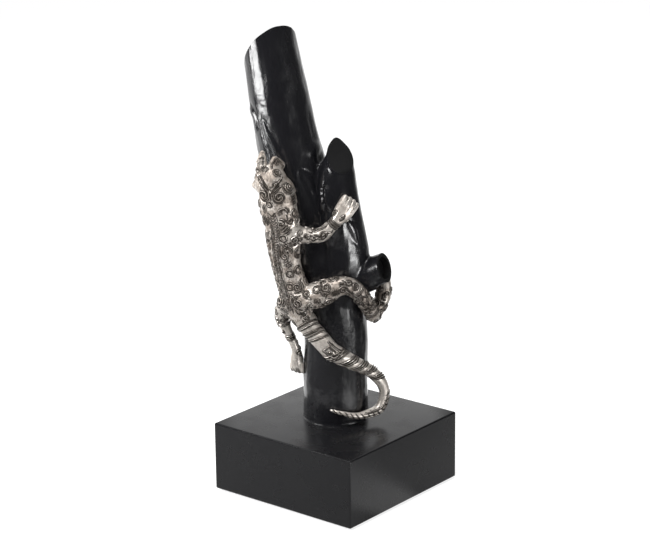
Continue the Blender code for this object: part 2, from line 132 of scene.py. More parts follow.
studioSettings = {
    "roomLight": 0.56,  # what the room gives to matt surfaces
    "floorColour": (0.86, 0.86, 0.86, 1),
    "floorSeen": (0.3, 0.3, 0.3, 1),  # what the camera and reflections see of it, besides its glow
    "floorGlow": 0.8,
    "floorSize": 12,
    "lampAim": 0.2,
    # name: bearing (0 is the camera's side, 90 its right), height of the middle, distance, width, tall, watts
    # Reflections don't see the fill lamp.
    "lamps": {
        "leftSoftbox": (-85, 0.34, 0.85, 0.3, 0.6, 6),
        "edgeLamp": (-72, 0.2505, 0.32, 0.16, 0.06, 0.6),
        "markLamp": (-85, 0.185, 0.32, 0.035, 0.03, 0.07),
        "lowLamp": (46, 0.044, 0.65, 0.4, 0.084, 2.2),
        "topSoftbox": (-25, 1.3, 0.5, 0.9, 0.6, 23),
        "fillLamp": (-45, 0.75, 0.7, 0.3, 0.3, 7),
    },
    # name: distance and height of the near edge, then of the far edge, then bearing and density along it
    # Only reflections see these dark screens.
    "screens": {
        "nearScreen": (
            (0.096, 0.0548, 0.105, 0.145),
            (
                (-125, 0), (-105, 0.5), (-90, 0.72), (-60, 0.75), (5, 0.75), (25, 0.85), (30, 0.97),
                (42, 0.96), (52, 0.8), (68, 0.75), (85, 0.85), (105, 0.8), (125, 0),
            ),
        ),
        "groundScreen": (
            (0.066, 0.001, 0.36, 0.001),
            ((-140, 0), (-110, 0.6), (24, 0.6), (32, 0), (60, 0), (68, 0.6), (110, 0.6), (140, 0)),
        ),
        "frontScreen": ((0.42, 0, 0.42, 1.7), ((-108, 0), (-96, 1), (28, 1))),
        "gapScreen": ((0.42, 0.128, 0.42, 1.7), ((28, 1), (62, 1))),
        "sideScreen": ((0.42, 0, 0.42, 1.7), ((62, 1), (115, 0.95), (135, 0.5), (150, 0))),
    },
    "screenColumns": 49,
    "screenColour": (0.02, 0.02, 0.02, 1),
}


def viewDirection(bearing, elevation=0.0):
    angle = math.radians(bearing) + math.radians(cameraSettings["azimuth"])
    rise = math.radians(elevation)
    return Vector((math.sin(angle) * math.cos(rise), -math.cos(angle) * math.cos(rise), math.sin(rise)))


def makeCamera():
    turn = math.radians(cameraSettings["azimuth"])
    roll = math.radians(cameraSettings["roll"])
    back = viewDirection(0, cameraSettings["elevation"])
    right = Vector((math.cos(turn), math.sin(turn), 0))
    up = back.cross(right)
    aim = right * cameraSettings["aimRight"] + Vector((0, 0, cameraSettings["aimUp"]))
    data = bpy.data.cameras.new("camera")
    data.lens = cameraSettings["lens"]
    data.sensor_width = cameraSettings["sensorWidth"]
    data.clip_start = cameraSettings["clipStart"]
    data.clip_end = cameraSettings["clipEnd"]
    camera = bpy.data.objects.new("camera", data)
    sideways = right * math.cos(roll) + up * math.sin(roll)
    upwards = up * math.cos(roll) - right * math.sin(roll)
    turned = Matrix((sideways, upwards, back)).transposed().to_4x4()
    camera.matrix_world = Matrix.Translation(aim + back * cameraSettings["distance"]) @ turned
    bpy.context.scene.collection.objects.link(camera)
    bpy.context.scene.camera = camera


def seenRay(tree):
    path = addNode(tree, "ShaderNodeLightPath").outputs
    direct = larger(tree, path["Is Camera Ray"], path["Is Glossy Ray"])
    return larger(tree, direct, path["Is Transmission Ray"])


def makeWorld():
    world = bpy.data.worlds.new("room")
    world.use_nodes = True
    tree = world.node_tree
    tree.nodes.clear()
    plain, white = (
        addNode(tree, "ShaderNodeBackground", {"Color": (1, 1, 1, 1), "Strength": strength}).outputs[0]
        for strength in (studioSettings["roomLight"], 1.0)
    )
    mix = addNode(tree, "ShaderNodeMixShader", {0: seenRay(tree), 1: plain, 2: white})
    addNode(tree, "ShaderNodeOutputWorld", {0: mix.outputs[0]})
    bpy.context.scene.world = world


def makeFloor():
    size = studioSettings["floorSize"] / 2
    corners = [(-size, -size, 0), (size, -size, 0), (size, size, 0), (-size, size, 0)]
    mesh = bpy.data.meshes.new("floor")
    mesh.from_pydata(corners, [], [(0, 1, 2, 3)])
    floor = bpy.data.objects.new("floor", mesh)
    bpy.context.scene.collection.objects.link(floor)
    paper, tree = emptyMaterial("white_paper")
    matt = addNode(tree, "ShaderNodeBsdfDiffuse", {"Color": studioSettings["floorColour"]})
    pale = addNode(tree, "ShaderNodeBsdfDiffuse", {"Color": studioSettings["floorSeen"]})
    glow = addNode(tree, "ShaderNodeEmission", {"Strength": studioSettings["floorGlow"]})
    seen = addNode(tree, "ShaderNodeAddShader", {0: pale.outputs[0], 1: glow.outputs[0]})
    mix = addNode(tree, "ShaderNodeMixShader", {0: seenRay(tree), 1: matt.outputs[0], 2: seen.outputs[0]})
    addNode(tree, "ShaderNodeOutputMaterial", {0: mix.outputs[0]})
    mesh.materials.append(paper)


def makeLamps():
    aim = Vector((0, 0, studioSettings["lampAim"]))
    for name, (bearing, height, distance, wide, tall, watts) in studioSettings["lamps"].items():
        data = bpy.data.lights.new(name, "AREA")
        data.shape = "RECTANGLE"
        data.size = wide
        data.size_y = tall
        data.energy = watts
        lamp = bpy.data.objects.new(name, data)
        place = viewDirection(bearing) * distance + Vector((0, 0, height))
        lamp.location = place
        lamp.rotation_euler = (aim - place).to_track_quat("-Z", "Y").to_euler()
        lamp.visible_camera = False
        lamp.visible_glossy = name != "fillLamp"
        bpy.context.scene.collection.objects.link(lamp)


def makeScreens():
    cloth, tree = emptyMaterial("black_cloth")
    black = addNode(tree, "ShaderNodeBsdfDiffuse", {"Color": studioSettings["screenColour"]})
    clear = addNode(tree, "ShaderNodeBsdfTransparent")
    cover = attribute(tree, "dense")
    mix = addNode(tree, "ShaderNodeMixShader", {0: cover, 1: clear.outputs[0], 2: black.outputs[0]})
    addNode(tree, "ShaderNodeOutputMaterial", {0: mix.outputs[0]})
    columns = studioSettings["screenColumns"]
    for name, ((near, low, far, high), profile) in studioSettings["screens"].items():
        mesh = bpy.data.meshes.new(name)
        bearings = np.linspace(profile[0][0], profile[-1][0], columns)
        rows = [viewDirection(bearing) for bearing in bearings]
        points = []
        for distance, level in ((near, low), (far, high)):
            points += [(row.x * distance, row.y * distance, level) for row in rows]
        mesh.from_pydata(points, [], [(i, i + 1, i + columns + 1, i + columns) for i in range(columns - 1)])
        dense = np.interp(bearings, *zip(*profile))
        mesh.attributes.new("dense", "FLOAT", "POINT").data.foreach_set("value", [*dense, *dense])
        mesh.materials.append(cloth)
        screen = bpy.data.objects.new(name, mesh)
        bpy.context.scene.collection.objects.link(screen)
        screen.visible_camera = False
        screen.visible_diffuse = False
        screen.visible_shadow = False
        screen.visible_transmission = False


makeCamera()
makeScreens()
makeWorld()
makeFloor()
makeLamps()
bpy.context.scene.view_settings.view_transform = "Standard"
print("stage: studio ready")


# Finishes

finishSettings = {
    "lacquer": {"colour": (0.0045, 0.0045, 0.005, 1), "roughness": (0.2, 0.34), "specular": 0.25},
    "bark": {"colour": (0.0042, 0.0042, 0.005, 1), "roughness": (0.12, 0.32), "ior": 1.6},
    "sawn": {"colour": (0.004, 0.004, 0.0042, 1), "roughness": (0.44, 0.62), "specular": 0.08},
    "silver": {
        "bright": (0.90, 0.845, 0.78, 1),
        "film": (0.275, 0.235, 0.202, 1),  # the grey skin of old silver
        "dark": (0.02, 0.016, 0.013, 1),  # the wax in its grooves
        "roughness": (0.2, 0.5),
        "metallic": (0.92, 0.62),  # of the bright metal and of the film
        "crestLoss": 0.6,
    },
    "zinc": {"colour": (0.55, 0.55, 0.56, 1), "spangle": (0.42, 0.43, 0.45, 1), "roughness": (0.28, 0.5)},
    "felt": {"colour": (0.012, 0.013, 0.012, 1), "fluff": (0.035, 0.035, 0.034, 1), "sheen": 0.35},
}


def newMaterial(name):
    material = bpy.data.materials.new(name)
    material.use_nodes = True
    tree = material.node_tree
    where = addNode(tree, "ShaderNodeTexCoord").outputs["Object"]
    return material, tree, tree.nodes["Principled BSDF"], where


def noiseValue(tree, where, scale, detail=4.0, rough=0.5, distortion=0.0):
    values = {"Vector": where, "Scale": scale, "Detail": detail, "Roughness": rough, "Distortion": distortion}
    return addNode(tree, "ShaderNodeTexNoise", values).outputs["Fac"]


def mixColours(tree, factor, first, second):
    return addNode(tree, "ShaderNodeMix", {0: factor, 6: first, 7: second}, data_type="RGBA").outputs[2]


# Bumps lie one over the other: each row is a height, its distance in metres and its strength
def bump(tree, shader, *layers):
    normal = None
    for height, distance, strength in layers:
        values = {"Height": height, "Distance": distance, "Strength": strength}
        if normal:
            values["Normal"] = normal
        normal = addNode(tree, "ShaderNodeBump", values).outputs["Normal"]
    tree.links.new(normal, shader.inputs["Normal"])


def stretched(tree, where, scale):
    return addNode(tree, "ShaderNodeMapping", {"Vector": where, "Scale": scale}).outputs["Vector"]


def makeLacquer():
    material, tree, shader, where = newMaterial("black_lacquer_satin")
    values = finishSettings["lacquer"]
    shader.inputs["Base Color"].default_value = values["colour"]
    shader.inputs["Specular IOR Level"].default_value = values["specular"]
    rub = noiseValue(tree, where, 38, 6, 0.6)
    tree.links.new(ranged(tree, rub, 0.3, 0.75, *values["roughness"]), shader.inputs["Roughness"])
    grain = noiseValue(tree, stretched(tree, where, (30, 900, 900)), 1, 3)
    peel = noiseValue(tree, where, 700, 2)
    bump(tree, shader, (grain, 0.00004, 0.6), (peel, 0.00003, 0.5))
    return material


def makeBark():
    material, tree, shader, where = newMaterial("black_lacquer_gloss")
    values = finishSettings["bark"]
    shader.inputs["Base Color"].default_value = values["colour"]
    shader.inputs["IOR"].default_value = values["ior"]
    rub = noiseValue(tree, stretched(tree, where, (1, 1, 0.5)), 60, 6, 0.65)
    tree.links.new(ranged(tree, rub, 0.35, 0.75, *values["roughness"]), shader.inputs["Roughness"])
    dents = noiseValue(tree, stretched(tree, where, (1, 1, 0.4)), 90, 3, 0.5)
    patches = ranged(tree, noiseValue(tree, where, 45, 2), 0.45, 0.62, 0.1, 1.0)
    crinkle = times(tree, noiseValue(tree, where, 420, 4, 0.6), patches)
    pits = noiseValue(tree, where, 1500, 2)
    bump(tree, shader, (dents, 0.0012, 0.5), (crinkle, 0.00035, 0.6), (pits, 0.00004, 0.5))
    return material


def makeSawn():
    material, tree, shader, where = newMaterial("black_sawn_face")
    values = finishSettings["sawn"]
    shader.inputs["Base Color"].default_value = values["colour"]
    shader.inputs["Specular IOR Level"].default_value = values["specular"]
    marks = noiseValue(tree, stretched(tree, where, (250, 250, 1200)), 1, 3)
    pores = noiseValue(tree, where, 1300, 2)
    tree.links.new(ranged(tree, marks, 0.3, 0.7, *values["roughness"]), shader.inputs["Roughness"])
    bump(tree, shader, (marks, 0.00008, 0.6), (pores, 0.00005, 0.6))
    return material


def makeSilver():
    material, tree, shader, where = newMaterial("antique_silver")
    values = finishSettings["silver"]
    gap = attribute(tree, "lineGap")  # distance to a raised line, in half widths
    cut = attribute(tree, "cutGap")
    hollow = attribute(tree, "hollow")
    flow = attribute(tree, "flow", "Vector")  # along the limb, round it, and the share of fur
    fine = addNode(tree, "ShaderNodeSeparateXYZ", {0: flow}).outputs[2]
    fur = noiseValue(tree, stretched(tree, flow, (420, 1900, 0)), 1, 3, 0.6, 0.35)
    patches = noiseValue(tree, where, 130, 5, 0.6)
    specks = noiseValue(tree, where, 1000, 4, 0.7)
    # Dark wax stays beside the raised lines, in the cuts and in the hollows, broken up by specks and fur
    beside = times(tree, ranged(tree, gap, 0.85, 1.2, 0, 1), ranged(tree, gap, 1.4, 2.25, 1, 0.2))
    groove = ranged(tree, cut, 0.6, 1.25, 1, 0)
    deep = ranged(tree, hollow, 0.1, 0.45, 0, 0.9)
    tarnish = larger(tree, larger(tree, beside, groove), deep)
    offLine = times(tree, ranged(tree, gap, 0.7, 1.2, 0, 1), fine)
    streaks = times(tree, ranged(tree, fur, 0.48, 0.62, 0, 0.4), offLine)
    grime = calculated(tree, "ADD", times(tree, tarnish, 0.78), times(tree, specks, 0.75))
    broken = ranged(tree, calculated(tree, "ADD", grime, streaks), 0.45, 1.1, 0, 1)
    # The film is thick in patches and rubbed off the crests
    crest = ranged(tree, gap, 0.65, 1.05, 1, 0)
    polish = larger(tree, ranged(tree, hollow, -0.3, -0.1, 0.9, 0), crest)
    share = ranged(tree, fine, 0, 1, 0.3, 1, False)
    cloudy = times(tree, ranged(tree, patches, 0.35, 0.65, 0.45, 1.15), share)
    dull = larger(tree, calculated(tree, "SUBTRACT", cloudy, times(tree, polish, 0.9)), 0.0)
    film = mixColours(tree, dull, values["bright"], values["film"])
    tree.links.new(mixColours(tree, broken, film, values["dark"]), shader.inputs["Base Color"])
    shine = ranged(tree, dull, 0, 1, *values["metallic"], False)
    metal = calculated(tree, "SUBTRACT", shine, times(tree, crest, values["crestLoss"]))
    tree.links.new(metal, shader.inputs["Metallic"])
    roughness = ranged(tree, larger(tree, broken, dull), 0, 1, *values["roughness"], False)
    tree.links.new(roughness, shader.inputs["Roughness"])
    cast = noiseValue(tree, where, 1100, 3, 0.6)
    bump(tree, shader, (times(tree, fur, offLine), 0.00014, 0.6), (cast, 0.00006, 0.5))
    return material


def makeZinc():
    material, tree, shader, where = newMaterial("zinc_plate")
    values = finishSettings["zinc"]
    shader.inputs["Metallic"].default_value = 1.0
    crystals = addNode(tree, "ShaderNodeTexVoronoi", {"Vector": where, "Scale": 900.0}).outputs["Distance"]
    colour = mixColours(tree, ranged(tree, crystals, 0, 0.7, 0, 1), values["colour"], values["spangle"])
    tree.links.new(colour, shader.inputs["Base Color"])
    rub = noiseValue(tree, where, 600)
    tree.links.new(ranged(tree, rub, 0.3, 0.7, *values["roughness"]), shader.inputs["Roughness"])
    return material


def makeFeltFinish():
    material, tree, shader, where = newMaterial("black_felt")
    values = finishSettings["felt"]
    fluff = noiseValue(tree, where, 1600, 5, 0.7)
    colour = mixColours(tree, ranged(tree, fluff, 0.35, 0.7, 0, 1), values["colour"], values["fluff"])
    tree.links.new(colour, shader.inputs["Base Color"])
    shader.inputs["Roughness"].default_value = 0.95
    shader.inputs["Sheen Weight"].default_value = values["sheen"]
    bump(tree, shader, (fluff, 0.0003, 0.8))
    return material


lacquer = makeLacquer()
bark = makeBark()
sawn = makeSawn()
silver = makeSilver()
zinc = makeZinc()
feltFinish = makeFeltFinish()
print("stage: finishes ready")


# Small tools

def meshFrom(work, name):
    mesh = bpy.data.meshes.new(name)
    work.to_mesh(mesh)
    work.free()
    return mesh


def helperObject(name, data):
    obj = bpy.data.objects.new(name, data)
    helpers.objects.link(obj)
    return obj


def dropHelper(obj):
    data = obj.data
    bpy.data.objects.remove(obj)
    (bpy.data.curves if isinstance(data, bpy.types.Curve) else bpy.data.meshes).remove(data)


def evaluatedMesh(obj):
    graph = bpy.context.evaluated_depsgraph_get()
    graph.update()
    return bpy.data.meshes.new_from_object(obj.evaluated_get(graph), depsgraph=graph)


def bake(obj):
    mesh = evaluatedMesh(obj)
    obj.modifiers.clear()
    old, obj.data = obj.data, mesh
    bpy.data.meshes.remove(old)
    return obj


# A smooth line through stations, from mm to metres; the radii beside x, y and z are eased with it
def smoothPath(stations, steps):
    rows = np.array(stations, float) * mm
    padded = np.vstack([2 * rows[0] - rows[1], rows, 2 * rows[-1] - rows[-2]])
    made = []
    for i in range(1, len(padded) - 2):
        a, b, c, d = padded[i - 1 : i + 3]
        for t in np.arange(steps) / steps:
            straight = 2 * b + (c - a) * t
            bend = (2 * a - 5 * b + 4 * c - d) * t**2
            twist = (3 * b - a - 3 * c + d) * t**3
            made.append(0.5 * (straight + bend + twist))
    made.append(padded[-2])
    return np.array(made)


def meshFaces(mesh):
    points = [vert.co.copy() for vert in mesh.vertices]
    return BVHTree.FromPolygons(points, [tuple(face.vertices) for face in mesh.polygons])


def addTube(work, path):
    curve = bpy.data.curves.new("tube", "CURVE")
    curve.dimensions = "3D"
    curve.bevel_depth = 1
    curve.bevel_resolution = 12
    curve.use_fill_caps = True
    spline = curve.splines.new("POLY")
    spline.points.add(len(path) - 1)
    for point, row in zip(spline.points, path):
        point.co = (*row[:3], 1)
        point.radius = row[3]
    guide = helperObject("tube", curve)
    mesh = evaluatedMesh(guide)
    dropHelper(guide)
    work.from_mesh(mesh)
    bpy.data.meshes.remove(mesh)


def unitBall(segments=28, rings=16):
    turns = np.linspace(0, 2 * math.pi, segments, endpoint=False)
    points = [(0, 0, 1)]
    for rise in np.linspace(0, math.pi, rings + 1)[1:-1]:
        wide = math.sin(rise)
        points += [(wide * math.cos(turn), wide * math.sin(turn), math.cos(rise)) for turn in turns]
    points.append((0, 0, -1))
    last = len(points) - 1
    faces = []
    for k in range(segments):
        after = (k + 1) % segments
        faces.append((0, 1 + k, 1 + after))
        faces.append((last, last - segments + after, last - segments + k))
        for ring in range(rings - 2):
            a = 1 + ring * segments
            b = a + segments
            faces.append((a + k, b + k, b + after, a + after))
    return np.array(points), faces


ballPoints, ballFaces = unitBall()


# Balls drawn out along their axes, gathered into one mesh
class Lumps:
    def __init__(self):
        self.points = []
        self.faces = []

    def add(self, centre, radii, axes=((1, 0, 0), (0, 1, 0), (0, 0, 1))):
        first = len(self.points) * len(ballPoints)
        self.points.append(ballPoints * np.array(radii) @ np.array(axes, float) + np.array(centre))
        self.faces += [tuple(first + i for i in face) for face in ballFaces]

    def mesh(self, name):
        made = bpy.data.meshes.new(name)
        made.from_pydata(np.vstack(self.points).tolist(), [], self.faces)
        return made


# Melts overlapping forms into one skin, eases it, and makes it finer
def fuse(name, mesh, voxel, easing, rounds=0):
    obj = helperObject(name, mesh)
    skin = obj.modifiers.new("skin", "REMESH")
    skin.mode = "VOXEL"
    skin.voxel_size = voxel
    ease = obj.modifiers.new("ease", "SMOOTH")
    ease.factor = 0.5
    ease.iterations = easing
    if rounds:
        finer = obj.modifiers.new("finer", "SUBSURF")
        finer.levels = finer.render_levels = rounds
    return bake(obj)


def dressPiece(obj, materials, node, sharpAngle=None):
    for collection in list(obj.users_collection):
        collection.objects.unlink(obj)
    finished.objects.link(obj)
    obj.data.name = obj.name
    indices = [0] * len(obj.data.polygons)
    obj.data.polygons.foreach_get("material_index", indices)
    obj.data.materials.clear()
    for material in materials:
        obj.data.materials.append(material)
    obj.data.polygons.foreach_set("material_index", [min(i, len(materials) - 1) for i in indices])
    obj.data.shade_smooth()
    if sharpAngle:
        obj.data.set_sharp_from_angle(angle=math.radians(sharpAngle))
    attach(obj, "root")
    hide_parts(node)


# The faces beyond a plane, on the piece that the point lies in; the plane cuts only within reach
def beyondCut(work, point, normal, reach):
    point, normal = Vector(point), Vector(normal).normalized()

    def away(face):
        return face.calc_center_median() - point

    near = [face for face in work.faces if away(face).length < reach]
    edges = {edge for face in near for edge in face.edges}
    verts = {vert for face in near for vert in face.verts}
    geom = near + list(edges) + list(verts)
    cut = bmesh.ops.bisect_plane(work, geom=geom, plane_co=point, plane_no=normal)
    fence = {item for item in cut["geom_cut"] if isinstance(item, bmesh.types.BMEdge)}
    ahead = [face for face in work.faces if away(face).dot(normal) > 0]
    start = min(ahead, key=lambda face: away(face).length)
    found, waiting = {start}, [start]
    while waiting:
        face = waiting.pop()
        for edge in face.edges:
            if edge in fence:
                continue
            for other in edge.link_faces:
                if other not in found:
                    found.add(other)
                    waiting.append(other)
    return found


def closeRim(work, materialIndex=0):
    rim = [edge for edge in work.edges if edge.is_boundary]
    made = bmesh.ops.holes_fill(work, edges=rim, sides=0)["faces"]
    for face in made:
        face.material_index = materialIndex
    return made


# With keep the other faces are deleted, and without it these
def keepFaces(work, faces, keep):
    drop = [face for face in work.faces if (face in faces) != keep]
    bmesh.ops.delete(work, geom=drop, context="FACES")


# Branch

branchSettings = {
    "voxel": 0.9 * mm,
    "easing": 12,
    "merge": 1e-7,
    "stubRim": 2.6 * mm,
    "stubRecess": 5 * mm,
    "beadHeight": 1.6 * mm,
    "beadWidth": 0.7 * mm,
    "foot": (0.3 * mm, 4 * mm),
    "footCut": 0.1 * mm,
    "footReach": 60 * mm,
    "dents": {
        "dentSize": 17 * mm,
        "dentDepth": 0.9 * mm,
        "rippleSize": 6 * mm,
        "rippleDepth": 0.25 * mm,
        "seed": 4.0,
    },
    "ridges": {"height": 1.0 * mm, "halfWidth": 3.4 * mm, "beside": 0.25 * mm, "record": "ridgeGap"},
}

# Heart lines of the limbs: x, y, height and radius, in mm
mainLimb = (
    (0.3, 4, -2, 24.4),
    (0.3, 4, 30, 24.0),
    (0.8, 4, 66, 23.9),
    (-3.3, 5, 98, 24.2),
    (-13, 7, 132, 24.6),
    (-22.5, 8.5, 170, 24.4),
    (-32, 10, 207, 23.2),
    (-39, 11, 245, 21.8),
    (-46, 12, 290, 19.8),
    (-49, 12.5, 312, 19.3),
)
sideLimb = (
    (-1, 4, 78, 19.0),
    (2, 2, 98, 21.0),
    (6.2, -1, 122, 20.4),
    (6, -3, 140, 18.4),
    (3.8, -5.5, 162, 16.8),
    (2.3, -7, 179, 15.5),
    (2.8, -8, 194, 13.0),
    (4.4, -8, 203, 10.2),
    (4.8, -6.8, 211, 8.5),
    (4.4, -2.9, 218, 5.8),
    (4.2, -0.8, 222, 4.4),
)
stubLimb = (
    (3, 3, 104, 16.0),
    (13, -2.4, 108.8, 14.4),
    (23, -7, 113.2, 12.6),
    (31, -10.6, 118, 11.3),
    (42, -15.6, 124, 10.5),
)
# Sawn faces: a point on the face, in mm, the way it looks, and the reach of the cut
sawnFaces = {
    "main": ((-45, 12, 278.3), (-0.385, 0.652, 0.652), 60),
    "side": ((4.7, -8, 205.6), (0.313, -0.636, 0.703), 24),
    "stub": ((36.4, -13.2, 121.2), (0.86, -0.42, 0.29), 24),
}
# Swellings: height, bearing, how far the middle lies under the bark, and radius, in mm
swellings = ((236, -78, 12, 13), (206, 55, 12, 14))
# Ridges in the bark: limb, height in ridge heights, then height and bearing of each point.
# Bearing 0 faces the viewer, and 90 is to the right.
ridges = (
    ("main", 0.8, ((232, -40), (220, -33), (211, -25), (202, -18), (192, -13))),
    ("main", 0.9, ((241, -78), (234, -66), (226, -62), (219, -70))),
    ("main", 1.0, ((196, 12), (186, 22), (172, 24), (160, 22))),
    ("side", 1.9, ((198, -52), (190, -48), (180, -48), (170, -52), (162, -60))),
    ("side", 0.8, ((182, -40), (174, -28), (166, -20))),
    ("side", 0.8, ((160, 20), (150, 34), (140, 40))),
    ("main", 1.0, ((262, 120), (240, 128), (214, 122), (190, 130))),
    ("main", 1.0, ((120, 150), (96, 160), (70, 152), (44, 160))),
    ("main", 1.0, ((250, 180), (228, -170), (200, -176))),
)

limbs = {"main": mainLimb, "side": sideLimb, "stub": stubLimb}
limbPaths = {name: smoothPath(stations, 6) for name, stations in limbs.items()}


def bearingDirection(degrees):
    angle = math.radians(degrees)
    return Vector((math.sin(angle), -math.cos(angle), 0))


def onLimb(path, height, degrees, lift=0.0):
    centre = Vector([np.interp(height * mm, path[:, 2], path[:, axis]) for axis in range(3)])
    radius = float(np.interp(height * mm, path[:, 2], path[:, 3]))
    return centre + bearingDirection(degrees) * (radius + lift * mm)


# Lines as loose edges; each point keeps its heft, the line's strength there
def linesObject(name, lines):
    points, edges, hefts = [], [], []
    for line, heft in lines:
        first = len(points)
        points.extend(tuple(point) for point in line)
        edges.extend((first + i, first + i + 1) for i in range(len(line) - 1))
        hefts.extend([heft] * len(line) if np.isscalar(heft) else list(heft))
    mesh = bpy.data.meshes.new(name)
    mesh.from_pydata(points, edges, [])
    mesh.attributes.new("heft", "FLOAT", "POINT").data.foreach_set("value", hefts)
    return helperObject(name, mesh)


def newTree(name, sockets):
    tree = bpy.data.node_groups.new(name, "GeometryNodeTree")
    tree.interface.new_socket(name="Geometry", in_out="OUTPUT", socket_type="NodeSocketGeometry")
    tree.interface.new_socket(name="Geometry", in_out="INPUT", socket_type="NodeSocketGeometry")
    for label, kind in sockets:
        tree.interface.new_socket(name=label, in_out="INPUT", socket_type=f"NodeSocket{kind}")
    entry = tree.nodes.new("NodeGroupInput")
    return tree, entry.outputs


def endTree(tree, geometry, material):
    solid = addNode(tree, "GeometryNodeRealizeInstances", {"Geometry": geometry})
    dressed = addNode(tree, "GeometryNodeSetMaterial", {"Geometry": solid.outputs[0], "Material": material})
    addNode(tree, "NodeGroupOutput", {0: dressed.outputs[0]})


# Runs a tree on a piece; each input's value is given under the input's name, written in camelCase
def runTree(obj, tree, **values):
    modifier = obj.modifiers.new(tree.name, "NODES")
    modifier.node_group = tree
    for item in tree.interface.items_tree:
        key = item.name.replace(" ", "")
        key = key[0].lower() + key[1:]
        if item.in_out == "INPUT" and key in values:
            modifier[item.identifier] = values[key]
    return bake(obj)


def vectorMath(tree, operation, first, second):
    made = addNode(tree, "ShaderNodeVectorMath", {0: first, 1: second}, operation=operation)
    return made.outputs["Value" if operation == "DOT_PRODUCT" else "Vector"]


def movedOut(tree, geometry, amount):
    normal = addNode(tree, "GeometryNodeInputNormal").outputs["Normal"]
    offset = addNode(tree, "ShaderNodeVectorMath", {0: normal, "Scale": amount}, operation="SCALE")
    values = {"Geometry": geometry, "Offset": offset.outputs["Vector"]}
    return addNode(tree, "GeometryNodeSetPosition", values).outputs[0]


def storedValue(tree, geometry, name, value):
    values = {"Geometry": geometry, "Name": name, "Value": value}
    made = addNode(tree, "GeometryNodeStoreNamedAttribute", values, data_type="FLOAT", domain="POINT")
    return made.outputs[0]


# Raises the surface along lines, sinks it a little beside them, and records the distance in half widths
def makeLineTree():
    sockets = (
        ("Lines", "Object"),
        ("Height", "Float"),
        ("Half Width", "Float"),
        ("Beside", "Float"),
        ("Record", "String"),
        ("Material", "Material"),
    )
    tree, given = newTree("raisedLines", sockets)
    lines = addNode(tree, "GeometryNodeObjectInfo", {"Object": given["Lines"]}).outputs["Geometry"]
    near = addNode(tree, "GeometryNodeProximity", {"Target": lines}, target_element="EDGES")
    index = addNode(tree, "GeometryNodeSampleNearest", {"Geometry": lines}, domain="POINT").outputs[0]
    named = addNode(tree, "GeometryNodeInputNamedAttribute", {"Name": "heft"}, data_type="FLOAT")
    values = {"Geometry": lines, "Value": named.outputs["Attribute"], "Index": index}
    heft = addNode(tree, "GeometryNodeSampleIndex", values, data_type="FLOAT", domain="POINT").outputs[0]
    wide = times(tree, given["Half Width"], larger(tree, heft, 0.05))
    gap = calculated(tree, "DIVIDE", near.outputs["Distance"], wide)
    crest = ranged(tree, gap, 0.3, 1.15, 1.0, 0.0)
    sink = times(tree, ranged(tree, gap, 0.9, 1.5, 0.0, 1.0), ranged(tree, gap, 1.6, 3.0, 1.0, 0.0))
    raised = times(tree, times(tree, crest, given["Height"]), heft)
    change = calculated(tree, "SUBTRACT", raised, times(tree, sink, given["Beside"]))
    noted = storedValue(tree, movedOut(tree, given["Geometry"], change), given["Record"], gap)
    endTree(tree, noted, given["Material"])
    return tree


# Shallow dents and finer ripples, drawn out along the branch
def makeBarkTree():
    sockets = (
        ("Dent Size", "Float"),
        ("Dent Depth", "Float"),
        ("Ripple Size", "Float"),
        ("Ripple Depth", "Float"),
        ("Seed", "Float"),
        ("Material", "Material"),
    )
    tree, given = newTree("barkDents", sockets)
    place = addNode(tree, "GeometryNodeInputPosition").outputs[0]
    shift = addNode(tree, "ShaderNodeCombineXYZ", {axis: given["Seed"] for axis in range(3)}).outputs[0]
    moved = vectorMath(tree, "ADD", vectorMath(tree, "MULTIPLY", place, (1, 1, 0.45)), shift)
    height = None
    for size, depth, detail in (("Dent Size", "Dent Depth", 1.0), ("Ripple Size", "Ripple Depth", 2.0)):
        values = {"Vector": moved, "Scale": calculated(tree, "DIVIDE", 1.0, given[size]), "Detail": detail}
        wave = addNode(tree, "ShaderNodeTexNoise", values).outputs["Fac"]
        swing = times(tree, calculated(tree, "SUBTRACT", wave, 0.5), times(tree, given[depth], 2.0))
        height = swing if height is None else calculated(tree, "ADD", height, swing)
    endTree(tree, movedOut(tree, given["Geometry"], height), given["Material"])
    return tree


lineTree = makeLineTree()
barkTree = makeBarkTree()


def ridgeLines():
    made = []
    for limb, heft, places in ridges:
        rows = np.array([(*onLimb(limbPaths[limb], height, degrees), 0) for height, degrees in places]) / mm
        line = smoothPath(rows, 12)[:, :3]
        ends = np.sin(np.linspace(0.0, math.pi, len(line))) ** 0.6
        made.append((line, np.clip(ends, 0.05, 1) * heft))
    return made


